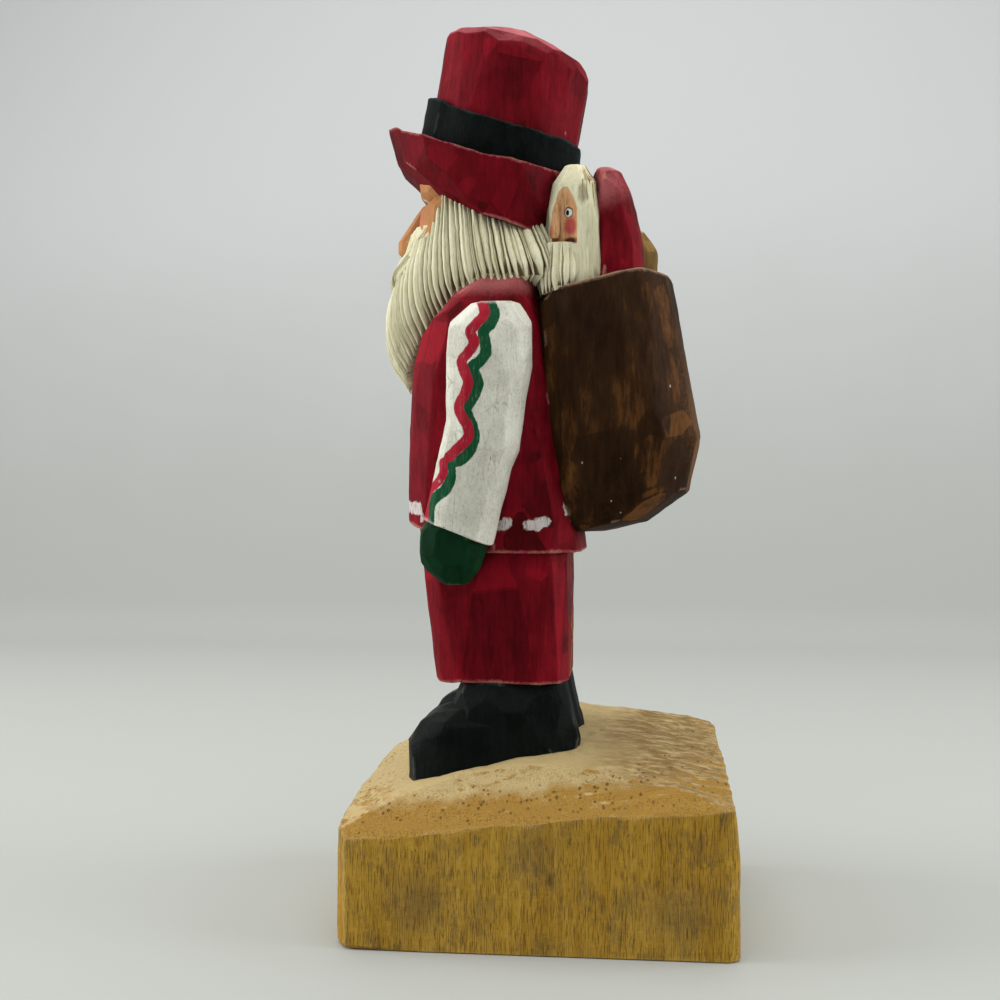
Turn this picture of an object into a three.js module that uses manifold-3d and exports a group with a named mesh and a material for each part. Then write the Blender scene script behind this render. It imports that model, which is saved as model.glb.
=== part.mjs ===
// A Santa carved with a knife from one block of wood and painted. He stands on the uncarved foot of
// the block, wears a top hat with a rolled brim, and carries a full sack of toys on his back.
// Millimetres, +Z up. He faces -Y, +X is his left side, and the origin is under the middle of the block.
import * as THREE from "three";
import { mergeVertices } from "three/addons/utils/BufferGeometryUtils.js";
import Module from "manifold-3d";

const wasm = await Module();
wasm.setup();

// The block
const BLOCK_WIDTH = 90; // from his right to his left
const BLOCK_DEPTH = 103; // from front to back
const BLOCK_HEIGHT = 50; // underside to the crest that he stands on
const FRONT_FALL = 14; // how far the top drops from the crest to the front edge
const BACK_FALL = 6; // and to the back edge
const SIDE_FALL = 5; // and to the ridge of the bevel that was split off along his left
const BEVEL_WIDTH = 12; // that bevel on plan
const BEVEL_DROP = 10; // and how far it drops

// The figure
const FIGURE_HEIGHT = 200; // crest of the block to the top of the hat
const HAT_TILT = 18; // degrees, the hat sits back on the head
const BOOT_SPLAY = 13; // degrees, each toe turns out
const LOCK_PITCH = 2.7; // from one V-groove of hair to the next
const LOCK_DEPTH = 1.2; // depth of a V-groove
const LEG_CUT = 6; // depth of the V between the trouser legs

// The figure's proportions are written for one two-hundredth of its height
const U = FIGURE_HEIGHT / 200;
const TURN = 2 * Math.PI;
const UP = new THREE.Vector3(0, 0, 1);
const MIRROR = new THREE.Vector3(-1, 1, 1);
const REACH = 1000; // longer than anything that a knife cut has to clear

// A fixed stream of small differences between 0 and 1, so that no two knife cuts are alike
function chance(seed, index) {
  const wave = Math.sin(seed * 12.9898 + index * 78.233) * 43758.5453;
  return wave - Math.floor(wave);
}

// The same stream, spread evenly about zero
function wander(seed, index, size) {
  return (2 * chance(seed, index) - 1) * size;
}

// A closed solid from a geometry, with its shared vertices merged
function solidOf(geometry) {
  const bare = geometry.index ? geometry.toNonIndexed() : geometry.clone();
  bare.deleteAttribute("normal");
  bare.deleteAttribute("uv");
  const merged = mergeVertices(bare, 1e-4);
  return new wasm.Manifold(
    new wasm.Mesh({
      numProp: 3,
      vertProperties: new Float32Array(merged.attributes.position.array),
      triVerts: new Uint32Array(merged.index.array),
    }),
  );
}

// A geometry for display from a solid
function geometryOf(solid) {
  const mesh = solid.getMesh();
  const geometry = new THREE.BufferGeometry();
  geometry.setAttribute("position", new THREE.BufferAttribute(mesh.vertProperties, 3));
  geometry.setIndex(new THREE.BufferAttribute(mesh.triVerts, 1));
  geometry.computeVertexNormals();
  return geometry;
}

// A box between two corners
function block(low, high) {
  const size = high.clone().sub(low);
  const box = new THREE.BoxGeometry(size.x, size.y, size.z);
  box.translate((low.x + high.x) / 2, (low.y + high.y) / 2, (low.z + high.z) / 2);
  return solidOf(box);
}

// One stroke of the knife: the wood beyond the plane through a point comes off
function pare(solid, point, normal) {
  const chip = new THREE.BoxGeometry(REACH, REACH, REACH);
  chip.translate(0, 0, REACH / 2);
  const turn = new THREE.Quaternion().setFromUnitVectors(UP, normal.clone().normalize());
  chip.applyQuaternion(turn);
  chip.translate(point.x, point.y, point.z);
  return solid.subtract(solidOf(chip));
}

// A V-cut whose sharp bottom runs from one point to another and which is as wide as given at a height
function score(solid, from, to, outward, width, height) {
  const along = to.clone().sub(from);
  const wedge = new THREE.CylinderGeometry(1, 1, along.length(), 3, 1);
  wedge.rotateY(Math.PI);
  wedge.translate(0, 0, 1);
  wedge.scale(width / Math.sqrt(3), 1, height / 1.5);
  const frame = new THREE.Matrix4();
  const ahead = along.clone().normalize();
  const out = outward.clone().normalize();
  const across = new THREE.Vector3().crossVectors(ahead, out).normalize();
  frame.makeBasis(across, ahead, new THREE.Vector3().crossVectors(across, ahead));
  wedge.applyMatrix4(frame);
  const middle = from.clone().add(to).multiplyScalar(0.5);
  wedge.translate(middle.x, middle.y, middle.z);
  return solid.subtract(solidOf(wedge));
}

// Where a level of a form has its edge at an angle: 0 is his front and a quarter turn is his left
function edgeOf(level, angle, squareness) {
  const power = 2 / squareness;
  const along = Math.sign(Math.cos(angle)) * Math.abs(Math.cos(angle)) ** power;
  const across = Math.sign(Math.sin(angle)) * Math.abs(Math.sin(angle)) ** power;
  const middle = (level.front + level.back) / 2;
  return new THREE.Vector3(
    (level.middle ?? 0) + level.half * across,
    middle - (along * (level.back - level.front)) / 2,
    level.at,
  ).multiplyScalar(U);
}

// A rounded form whittled flat by flat. Each level gives the form's front, back and half width at a
// height, and between two levels a ring of flat cuts runs round it
function whittle({ levels, squareness = 2.6, cuts = 12, slip = 0.35, seed = 1 }) {
  const low = new THREE.Vector3(Infinity, Infinity, Infinity);
  const high = new THREE.Vector3(-Infinity, -Infinity, -Infinity);
  for (const level of levels) {
    for (let quarter = 0; quarter < 4; quarter += 1) {
      const edge = edgeOf(level, (quarter * TURN) / 4, squareness);
      low.min(edge);
      high.max(edge);
    }
  }
  let solid = block(low, high);
  for (let ring = 0; ring < levels.length - 1; ring += 1) {
    for (let cut = 0; cut < cuts; cut += 1) {
      const stroke = ring * cuts + cut;
      const angle = (TURN * (cut + 0.5 * (ring % 2) + wander(seed, stroke, slip))) / cuts;
      const lower = edgeOf(levels[ring], angle, squareness);
      const upper = edgeOf(levels[ring + 1], angle, squareness);
      const next = edgeOf(levels[ring], angle + 0.12, squareness);
      const last = edgeOf(levels[ring], angle - 0.12, squareness);
      const round = next.sub(last).normalize();
      const normal = new THREE.Vector3().crossVectors(round, upper.clone().sub(lower));
      solid = pare(solid, lower.add(upper).multiplyScalar(0.5), normal);
    }
  }
  return solid;
}

// Locks of hair: a skirt between the tops and the bottoms of its guide strands, scored by V-grooves.
// The guides run from the front round by his left. Unless they close the ring by themselves they stop
// at the middle of the back and are mirrored
function locks({ guides, heart, closed = false, depth = LOCK_DEPTH, rows = 6, seed = 3 }) {
  const ring = (pick) => {
    const near = guides.map((guide) => new THREE.Vector3(...pick(guide)));
    const far = near.slice(1, -1).reverse().map((point) => point.clone().multiply(MIRROR));
    const points = closed ? near : [...near, ...far];
    return new THREE.CatmullRomCurve3(points.map((point) => point.multiplyScalar(U)), true, "centripetal");
  };
  const top = ring((guide) => guide.top);
  const bottom = ring((guide) => guide.bottom);
  const bows = ring((guide) => [0, guide.bow, 0]);
  const count = Math.round((top.getLength() + bottom.getLength()) / 2 / LOCK_PITCH);
  const shape = new THREE.CylinderGeometry(1, 1, 1, 2 * count, rows);
  const position = shape.attributes.position;
  for (let index = 0; index < position.count; index += 1) {
    const down = 0.5 - position.getY(index);
    const angle = Math.atan2(position.getX(index), position.getZ(index));
    const column = Math.round((angle / TURN) * 2 * count + 2 * count) % (2 * count);
    const radius = Math.hypot(position.getX(index), position.getZ(index));
    const place = radius < 0.5
      ? new THREE.Vector3(...(down < 0.5 ? heart.top : heart.bottom)).multiplyScalar(U)
      : lockPoint({ top, bottom, bows, column, count, down, depth, seed });
    position.setXYZ(index, place.x, place.y, place.z);
  }
  return solidOf(shape);
}

// A point of the locks: every second column lies at the bottom of a groove
function lockPoint({ top, bottom, bows, column, count, down, depth, seed }) {
  const slip = wander(seed, column, 0.3);
  const share = (((column + slip) / (2 * count)) % 1 + 1) % 1;
  const at = (part, drop) => {
    const wrapped = ((part % 1) + 1) % 1;
    return top.getPoint(wrapped).lerp(bottom.getPoint(wrapped), drop);
  };
  const here = at(share, down);
  const across = at(share + 0.01, down).sub(at(share - 0.01, down));
  const along = at(share, 1).sub(at(share, 0));
  const out = new THREE.Vector3().crossVectors(along, across).normalize();
  const bow = bows.getPoint(share).y * Math.sin(Math.PI * down ** 1.8);
  const groove = column % 2 === 1 ? depth * (0.6 + 0.4 * chance(seed + 1, column)) : 0;
  return here.addScaledVector(out, bow - groove);
}

// The foot of the block: sawn sides and a hacked top that falls to its edges. A bevel was split off
// along his left in a few strokes, and the corners are cut
function carveBlock() {
  const halfWidth = BLOCK_WIDTH / 2;
  const halfDepth = BLOCK_DEPTH / 2;
  let solid = block(
    new THREE.Vector3(-halfWidth, -halfDepth, 0),
    new THREE.Vector3(halfWidth, halfDepth, BLOCK_HEIGHT + 2),
  );
  const crest = 0.06 * BLOCK_DEPTH;
  const fallAt = (y) => {
    const fall = y < crest ? FRONT_FALL : BACK_FALL;
    const run = y < crest ? -halfDepth - crest : halfDepth - crest;
    return fall * ((y - crest) / run) ** 2;
  };
  const ridge = halfWidth - BEVEL_WIDTH;
  const sideAt = (x) => {
    const lean = (x + halfWidth) / (ridge + halfWidth);
    const droop = Math.max(0, x / ridge) ** 2;
    return (SIDE_FALL * (lean + droop)) / 2;
  };
  const heightAt = (x, y) => BLOCK_HEIGHT - fallAt(y) - sideAt(x);
  const rows = 7;
  const columns = 5;
  for (let row = 0; row < rows; row += 1) {
    for (let column = 0; column < columns; column += 1) {
      const stroke = row * columns + column;
      const x = halfWidth * (-0.85 + (1.5 * (column + wander(5, stroke, 0.25))) / (columns - 1));
      const y = halfDepth * (-0.88 + (1.76 * (row + wander(6, stroke, 0.25))) / (rows - 1));
      const slopeX = (heightAt(x + 1, y) - heightAt(x - 1, y)) / 2;
      const slopeY = (heightAt(x, y + 1) - heightAt(x, y - 1)) / 2;
      const normal = new THREE.Vector3(-slopeX, -slopeY, 1);
      solid = pare(solid, new THREE.Vector3(x, y, heightAt(x, y)), normal);
    }
  }
  const bevelSlope = new THREE.Vector3(BEVEL_DROP, 0, BEVEL_WIDTH);
  const bevelFoot = BLOCK_HEIGHT - SIDE_FALL - BEVEL_DROP;
  const splits = [[-0.9, -1.6, -5.2], [-0.1, -1, -1.8], [0.4, -1.3, 0.4], [0.85, 0.5, 3]];
  for (const [share, lean, rise] of splits) {
    const edge = new THREE.Vector3(halfWidth, share * halfDepth, bevelFoot + rise);
    solid = pare(solid, edge, bevelSlope.clone().add(new THREE.Vector3(0, lean, 0)));
  }
  const corners = [[1, -1, 5, 3], [1, 1, 1.5, 2.8], [-1, -1, 2.5, 3.5], [-1, 1, 9, 3.4]];
  for (const [sideX, sideY, wide, deep] of corners) {
    const point = new THREE.Vector3(sideX * halfWidth, sideY * (halfDepth - deep), 0);
    solid = pare(solid, point, new THREE.Vector3(sideX * deep, sideY * wide, 0));
  }
  const backEdge = new THREE.Vector3(0, halfDepth, 0.5 * BLOCK_HEIGHT);
  return pare(solid, backEdge, new THREE.Vector3(0, 1, 0.1));
}

// A boot: a blunt foot turned out at the toe, and the ankle that runs up into the trouser leg
function carveBoot(side) {
  const foot = whittle({
    levels: [
      { at: -16, front: -37, back: 10.5, middle: 12, half: 11 },
      { at: -3, front: -37, back: 10.8, middle: 12, half: 11 },
      { at: 4, front: -34.5, back: 10.2, middle: 12, half: 10.5 },
      { at: 8, front: -29, back: 8, middle: 12, half: 9 },
      { at: 10, front: -22, back: 5, middle: 12, half: 7 },
    ],
    squareness: 3,
    cuts: 10,
    seed: 11,
  });
  const ankle = whittle({
    levels: [
      { at: -8, front: -25.5, back: 9, middle: 12, half: 10 },
      { at: 0, front: -26.2, back: 9.7, middle: 12, half: 10.7 },
      { at: 10, front: -24.6, back: 7.5, middle: 12, half: 10 },
      { at: 20, front: -20, back: 5.5, middle: 11, half: 7.4 },
    ],
    squareness: 3,
    cuts: 9,
    seed: 12,
  });
  const hinge = [12 * U, 0, 0];
  const turned = foot.add(ankle)
    .translate(hinge.map((length) => -length))
    .rotate([0, 0, BOOT_SPLAY])
    .translate(hinge);
  return side > 0 ? turned : turned.mirror([1, 0, 0]);
}

// The trousers: one square column, with a V-cut front and back that parts the legs
function carveTrousers() {
  const hem = { at: 15.3, front: -29.6, back: 7, half: 23 };
  const knee = { at: 30, front: -31.6, back: 7.4, half: 23.8 };
  const hip = { at: 60, front: -34.8, back: 7.4, half: 24.4 };
  let solid = whittle({
    levels: [hem, knee, hip],
    squareness: 4.5,
    cuts: 12,
    slip: 0.25,
    seed: 21,
  });
  for (const [out, low, high] of [[-1, hem.front, hip.front], [1, hem.back, hip.back]]) {
    const from = new THREE.Vector3(0, low * U - out * LEG_CUT, (hem.at - 1) * U);
    const to = new THREE.Vector3(0, high * U - out * LEG_CUT, hip.at * U);
    solid = score(solid, from, to, new THREE.Vector3(0, out, 0), 2.4 * LEG_CUT, 2 * LEG_CUT);
  }
  return solid;
}

// The coat: straight in front, leaning forward behind where the sack lies, with a hem cut up in front
function carveCoat() {
  const hem = { at: 50.8, front: -36, back: 11.4, half: 27 };
  const breast = { at: 100, front: -36.4, back: 5, half: 29.6 };
  let solid = whittle({
    levels: [
      hem,
      { at: 58, front: -37.4, back: 11.4, half: 28 },
      { at: 80, front: -37.4, back: 8.4, half: 29 },
      breast,
      { at: 114, front: -32.6, back: 2, half: 29.4 },
      { at: 121, front: -26, back: 1, half: 27.6 },
      { at: 126, front: -20, back: 0, half: 25.6 },
      { at: 131, front: -16, back: -2, half: 18 },
    ],
    squareness: 3.4,
    cuts: 14,
    slip: 0.3,
    seed: 31,
  });
  const hemPoint = new THREE.Vector3(0, -14 * U, hem.at * U);
  solid = pare(solid, hemPoint, new THREE.Vector3(0, -0.34, -1));
  const from = new THREE.Vector3(0, hem.front * U, (hem.at - 1) * U);
  const to = new THREE.Vector3(0, breast.front * U, breast.at * U);
  return score(solid, from, to, new THREE.Vector3(0, -1, 0), 3 * U, 3 * U);
}

// An arm: upper arm and forearm in one sleeve that is bent a little forward at the elbow
function carveSleeve(side) {
  const upper = whittle({
    levels: [
      { at: 66, front: -24.5, back: -10.5, middle: 28, half: 8.8 },
      { at: 78, front: -24.4, back: -5.2, middle: 28, half: 10.5 },
      { at: 86, front: -24.6, back: -4, middle: 28, half: 10.8 },
      { at: 101, front: -25.4, back: -1.8, middle: 28, half: 10.2 },
      { at: 111, front: -23.4, back: -2, middle: 28, half: 9 },
      { at: 117, front: -17, back: -5.4, middle: 28, half: 6.8 },
    ],
    cuts: 11,
    squareness: 2.8,
    seed: 41,
  });
  let forearm = whittle({
    levels: [
      { at: 50, front: -32, back: -13, middle: 28.6, half: 9.4 },
      { at: 62, front: -29.8, back: -10, middle: 28.6, half: 9.8 },
      { at: 76, front: -26.6, back: -6.6, middle: 28.4, half: 10 },
      { at: 90, front: -24, back: -4, middle: 28.4, half: 9.6 },
    ],
    cuts: 10,
    squareness: 2.8,
    seed: 42,
  });
  forearm = pare(forearm, new THREE.Vector3(0, -30 * U, 59.8 * U), new THREE.Vector3(0, -0.38, -1));
  const sleeve = upper.add(forearm);
  return side > 0 ? sleeve : sleeve.mirror([1, 0, 0]);
}

// A mitten: a blunt wedge that hangs out of the sleeve
function carveMitten(side) {
  const mitten = whittle({
    levels: [
      { at: 42.8, front: -24.5, back: -18.5, middle: 31, half: 4 },
      { at: 46, front: -28.6, back: -16, middle: 31, half: 5.6 },
      { at: 50, front: -31, back: -14.4, middle: 31, half: 6.6 },
      { at: 57.5, front: -30.4, back: -13, middle: 31, half: 6.8 },
      { at: 61, front: -27, back: -14, middle: 31, half: 6 },
    ],
    cuts: 8,
    seed: 51,
  });
  return side > 0 ? mitten : mitten.mirror([1, 0, 0]);
}

// The sack: it lies on the back of the coat, hangs full and is level with the hem below
function carveSack() {
  let solid = whittle({
    levels: [
      { at: 56.4, front: 2, back: 17, half: 16 },
      { at: 59, front: 0, back: 28.5, half: 21.5 },
      { at: 67, front: -2, back: 39.8, half: 26.5 },
      { at: 84, front: -4, back: 43.6, half: 29.4 },
      { at: 108, front: -5, back: 39, half: 29 },
      { at: 132, front: -4, back: 35, half: 26.6 },
    ],
    squareness: 2.7,
    cuts: 13,
    seed: 61,
  });
  const rimPoint = new THREE.Vector3(0, -1.5 * U, 120 * U);
  const rimSlope = new THREE.Vector3(0, -0.24, 1);
  solid = pare(solid, rimPoint, rimSlope);
  const rimBreak = rimPoint.clone().add(new THREE.Vector3(0, 28.5, 28.5 * 0.24).multiplyScalar(U));
  solid = pare(solid, rimBreak, new THREE.Vector3(0, 0.12, 1));
  const mouth = whittle({
    levels: [
      { at: 100, front: -8, back: 34.4, half: 24 },
      { at: 140, front: -8, back: 31, half: 23 },
    ],
    squareness: 2.7,
    cuts: 14,
    seed: 62,
  });
  const floor = rimPoint.clone().sub(new THREE.Vector3(0, 0, 2.6 * U));
  return solid.subtract(pare(mouth, floor, rimSlope.clone().negate()));
}

// The toys that look out of the sack: a bearded doll in a hooded cloak, and two plain ones beside it
function carveToys() {
  const head = whittle({
    levels: [
      { at: 118, front: 0.6, back: 17.4, middle: 14.5, half: 10 },
      { at: 143, front: 1.2, back: 16.5, middle: 14.5, half: 9.8 },
      { at: 150.6, front: 2.6, back: 15.3, middle: 14.5, half: 8.6 },
      { at: 155.8, front: 6.2, back: 11.8, middle: 14.5, half: 5 },
    ],
    squareness: 3,
    cuts: 12,
    seed: 71,
  });
  const brow = new THREE.Vector3(22.6 * U, 4 * U, 149 * U);
  const face = whittle({
    levels: [
      { at: 133.6, front: 1.2, back: 10.4, middle: 26, half: 3.6 },
      { at: 143, front: 1.6, back: 10.4, middle: 26, half: 3.6 },
      { at: 150, front: 4.4, back: 8.6, middle: 26, half: 2.6 },
    ],
    squareness: 3,
    cuts: 10,
    seed: 72,
  });
  const nose = new THREE.SphereGeometry(2.4 * U, 7, 5);
  nose.scale(1, 0.9, 2.3);
  nose.translate(brow.x, brow.y + 0.6 * U, brow.z - 9 * U);
  const beard = locks({
    guides: [
      { top: [17, 0.8, 134], bottom: [17.5, 0.2, 119.5], bow: 0.6 },
      { top: [22.6, 1.2, 134], bottom: [23.8, 0.8, 120], bow: 0.8 },
      { top: [24.6, 4, 134], bottom: [25.6, 4, 120.6], bow: 0.8 },
      { top: [24.4, 8.4, 134], bottom: [25.4, 8.6, 121.6], bow: 0.6 },
      { top: [21.5, 10.4, 134], bottom: [22, 10.6, 122.2], bow: 0.3 },
      { top: [15, 9, 134], bottom: [15, 9, 122], bow: 0 },
      { top: [13, 4, 134], bottom: [13, 4, 121], bow: 0 },
    ],
    heart: { top: [18, 5, 134], bottom: [18, 5, 121] },
    closed: true,
    depth: 0.8 * LOCK_DEPTH,
    rows: 3,
    seed: 73,
  });
  const hood = whittle({
    levels: [
      { at: 118, front: 11, back: 28.4, middle: 8, half: 15.4 },
      { at: 137, front: 12.6, back: 27.2, middle: 8, half: 14.8 },
      { at: 149.4, front: 13.2, back: 24, middle: 8.4, half: 13.4 },
      { at: 154, front: 13.8, back: 21.8, middle: 9, half: 11 },
      { at: 155.8, front: 14.6, back: 19, middle: 9, half: 7.5 },
    ],
    squareness: 3,
    cuts: 11,
    seed: 74,
  });
  const ochreToy = whittle({
    levels: [
      { at: 118, front: 17, back: 31.4, middle: -11, half: 8.6 },
      { at: 136, front: 18, back: 31.8, middle: -11, half: 8.4 },
      { at: 143, front: 20, back: 27.4, middle: -11, half: 6 },
    ],
    cuts: 9,
    seed: 75,
  });
  const parcel = whittle({
    levels: [
      { at: 114, front: 2.6, back: 16, middle: -14, half: 8.6 },
      { at: 137, front: 3, back: 15, middle: -15, half: 8 },
    ],
    squareness: 7,
    cuts: 8,
    seed: 76,
  });
  const doll = head.subtract(face).add(solidOf(nose)).add(beard).add(hood);
  return doll.add(ochreToy).add(parcel);
}

// Hair and beard hang from under the hat, and end on the collar and on the breast
function carveHair() {
  const hair = locks({
    guides: [
      { top: [0, -33.5, 155], bottom: [0, -40, 95.5], bow: 7.9 },
      { top: [6, -33, 155], bottom: [7, -39.5, 97], bow: 7.6 },
      { top: [11, -32, 155], bottom: [12.5, -37.5, 102], bow: 6.2 },
      { top: [15.6, -30.5, 155], bottom: [17.5, -33.5, 109.5], bow: 4.4 },
      { top: [18.6, -27, 155], bottom: [22.4, -27.5, 116], bow: 2.8 },
      { top: [19.8, -21.5, 155], bottom: [25.6, -20.5, 120.3], bow: 2 },
      { top: [20.6, -15, 155], bottom: [27, -12.4, 123], bow: 1.6 },
      { top: [21, -8.5, 155], bottom: [27.2, -4, 124.8], bow: 1.4 },
      { top: [20.4, -1.5, 155], bottom: [25, 4, 125.4], bow: 1 },
      { top: [15, 5.5, 155], bottom: [15, 8.5, 126], bow: 1 },
      { top: [0, 8, 155], bottom: [0, 10, 126.5], bow: 1 },
    ],
    heart: { top: [0, -12, 156], bottom: [0, -12, 112] },
    seed: 81,
  });
  const gap = block(
    new THREE.Vector3(-20, -60, 137).multiplyScalar(U),
    new THREE.Vector3(20, -27.5, 160).multiplyScalar(U),
  );
  const moustache = locks({
    guides: [
      { top: [0, -37.5, 138], bottom: [0, -42.4, 121.4], bow: 1.2 },
      { top: [6, -37, 138], bottom: [3.6, -42.6, 121.2], bow: 1.4 },
      { top: [11.5, -34, 139.5], bottom: [8, -40, 125], bow: 1.6 },
      { top: [17, -29.5, 141.5], bottom: [14, -34.5, 130.6], bow: 1.2 },
      { top: [10, -22, 141], bottom: [9, -25, 129], bow: 0 },
      { top: [0, -21, 140], bottom: [0, -24, 126], bow: 0 },
    ],
    heart: { top: [0, -28, 139], bottom: [0, -30, 126] },
    rows: 4,
    seed: 82,
  });
  return hair.subtract(gap).add(moustache);
}

// The face: a plain curved front under the brim, with a broad wedge of a nose
function carveFace() {
  const face = whittle({
    levels: [
      { at: 132, front: -34.8, back: -8, half: 20.6 },
      { at: 150, front: -35.2, back: -8, half: 20.6 },
      { at: 158, front: -35.4, back: -8, half: 20 },
    ],
    squareness: 2.8,
    cuts: 12,
    seed: 91,
  });
  const nose = whittle({
    levels: [
      { at: 134, front: -40.6, back: -28, half: 6.4 },
      { at: 136, front: -42.6, back: -28, half: 7 },
      { at: 139.4, front: -42.4, back: -28, half: 6.6 },
      { at: 149.6, front: -35.4, back: -28, half: 3.4 },
    ],
    squareness: 2.4,
    cuts: 9,
    seed: 92,
  });
  return face.add(nose);
}

// The hat, made upright about the middle of its band and then tilted back
function carveHat() {
  const crown = whittle({
    levels: [
      { at: -16, front: -18.6, back: 22.4, half: 20 },
      { at: 0, front: -21, back: 21, half: 20.2 },
      { at: 16.8, front: -24, back: 18.8, half: 19.6 },
      { at: 20, front: -22, back: 16.4, half: 17.4 },
      { at: 22.8, front: -14, back: 9.6, half: 11 },
      { at: 25.4, front: -9, back: 1, half: 5 },
    ],
    squareness: 2.3,
    cuts: 13,
    seed: 101,
  });
  const band = new THREE.CylinderGeometry(1, 1, 1, 20, 1);
  const position = band.attributes.position;
  for (let index = 0; index < position.count; index += 1) {
    const angle = Math.atan2(position.getX(index), position.getZ(index));
    const across = position.getX(index);
    const upper = position.getY(index) > 0;
    const at = upper ? -1.8 - 2.8 * across ** 2 : -16;
    const edge = edgeOf({ at, front: -22.6, back: 22.8, half: 22 }, angle, 2.2);
    const radius = Math.hypot(across, position.getZ(index));
    edge.multiply(new THREE.Vector3(radius, radius, 1));
    edge.y -= 0.12 * at * U;
    position.setXYZ(index, edge.x, edge.y, edge.z);
  }
  let brim = whittle({
    levels: [
      { at: -31, front: -2, back: 26, half: 25.6 },
      { at: -28, front: -13, back: 28, half: 27 },
      { at: -22.4, front: -24.6, back: 28, half: 27.2 },
      { at: -13, front: -31, back: 29.4, half: 27.6 },
      { at: -4, front: -33, back: 30.6, half: 27.6 },
    ],
    squareness: 2.4,
    cuts: 14,
    seed: 103,
  });
  const gouge = new THREE.CylinderGeometry(120 * U, 120 * U, 90 * U, 64, 1);
  gouge.rotateZ(Math.PI / 2);
  gouge.translate(0, -6 * U, 104.4 * U);
  brim = brim.subtract(solidOf(gouge));
  const dish = whittle({
    levels: [
      { at: -19, front: -22, back: 22, half: 20 },
      { at: -15, front: -27, back: 26, half: 24 },
      { at: 0, front: -31.6, back: 29, half: 26 },
    ],
    squareness: 2.2,
    cuts: 14,
    seed: 104,
  });
  const flat = brim.subtract(dish);
  const upright = flat.add(crown).add(solidOf(turnedOut(band)));
  return upright.rotate([-HAT_TILT, 0, 0]).translate([0, -11.1 * U, 172.8 * U]);
}

// A warped cylinder can end up inside out; this turns its faces outward again
function turnedOut(geometry) {
  const index = geometry.index.array;
  const position = geometry.attributes.position;
  const corner = (k) => new THREE.Vector3().fromBufferAttribute(position, index[k]);
  let volume = 0;
  for (let k = 0; k < index.length; k += 3) {
    volume += corner(k).dot(corner(k + 1).cross(corner(k + 2)));
  }
  if (volume < 0) {
    for (let k = 0; k < index.length; k += 3) {
      [index[k], index[k + 1]] = [index[k + 1], index[k]];
    }
  }
  return geometry;
}

// Everything is one piece of wood
function carveSanta() {
  const figure = [
    carveBoot(1),
    carveBoot(-1),
    carveTrousers(),
    carveCoat(),
    carveSleeve(1),
    carveSleeve(-1),
    carveMitten(1),
    carveMitten(-1),
    carveSack(),
    carveToys(),
    carveHair(),
    carveFace(),
    carveHat(),
  ].reduce((whole, piece) => whole.add(piece));
  return carveBlock().add(figure.translate([0, 0, BLOCK_HEIGHT]));
}

const paintedWood = new THREE.MeshStandardMaterial({ color: 0x8c1f2b, roughness: 0.6, metalness: 0 });
const santa = new THREE.Mesh(geometryOf(carveSanta()), paintedWood);
santa.name = "carved_santa";

const group = new THREE.Group();
group.add(santa);

export default group;
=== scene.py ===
"""A Santa carved with a knife from one block of wood and painted, on the uncarved foot of the block.

He faces -Y and +X is his left side. Sizes are millimetres until the finished skin is laid into the
scene, which is in metres. Heights of the figure's forms are taken above the crest of the block, and
heights of what is painted on them above the ground.
"""
import heapq
import itertools
import logging
import math
from collections.abc import Callable, Iterable, Sequence
from dataclasses import dataclass, field
from enum import Enum, IntEnum
from functools import cached_property
from typing import Any

import bmesh
import bpy
from mathutils import Matrix, Vector, noise
from mathutils.bvhtree import BVHTree
from mathutils.kdtree import KDTree


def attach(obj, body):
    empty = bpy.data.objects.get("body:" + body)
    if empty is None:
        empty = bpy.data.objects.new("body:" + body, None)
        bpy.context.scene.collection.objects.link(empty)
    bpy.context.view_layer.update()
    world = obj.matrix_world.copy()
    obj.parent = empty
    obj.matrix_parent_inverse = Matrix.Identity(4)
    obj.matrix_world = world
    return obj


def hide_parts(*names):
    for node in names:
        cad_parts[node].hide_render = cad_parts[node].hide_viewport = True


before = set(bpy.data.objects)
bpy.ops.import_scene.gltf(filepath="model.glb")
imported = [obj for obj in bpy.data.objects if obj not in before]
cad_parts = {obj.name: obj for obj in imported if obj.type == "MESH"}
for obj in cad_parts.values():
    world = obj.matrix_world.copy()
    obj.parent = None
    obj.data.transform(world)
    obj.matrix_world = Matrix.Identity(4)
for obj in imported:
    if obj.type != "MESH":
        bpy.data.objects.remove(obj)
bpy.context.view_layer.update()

LOG = logging.getLogger("santa")
TURN = 2 * math.pi
MM = 0.001
CREST = 50.0
NODE = "carved_santa"
FAR = 9.0
Colour = tuple[float, float, float]


class Paint(IntEnum):
    """What covers a surface; the number is the material slot."""

    BARE = 0
    BOOT = 1
    TROUSER = 2
    COAT = 3
    SLEEVE = 4
    MITTEN = 5
    SACK = 6
    CREAM = 7
    FLESH = 8
    CROWN = 9
    BAND = 10
    BRIM = 11
    DOLL_FACE = 12
    CLOAK = 13
    OCHRE = 14
    PARCEL = 15


class Cut(Enum):
    """How one solid works on another."""

    JOIN = "UNION"
    TAKE = "DIFFERENCE"


def chance(seed: float, index: float) -> float:
    """A fixed stream of small differences between 0 and 1."""
    wave = math.sin(seed * 12.9898 + index * 78.233) * 43758.5453
    return wave - math.floor(wave)


def wander(seed: float, index: float, size: float) -> float:
    """The same stream, spread evenly about zero."""
    return (2 * chance(seed, index) - 1) * size


def ease(value: float, low: float, high: float) -> float:
    """0 below low, 1 above high and smooth between them."""
    share = min(1.0, max(0.0, (value - low) / (high - low)))
    return share * share * (3 - 2 * share)


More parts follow.
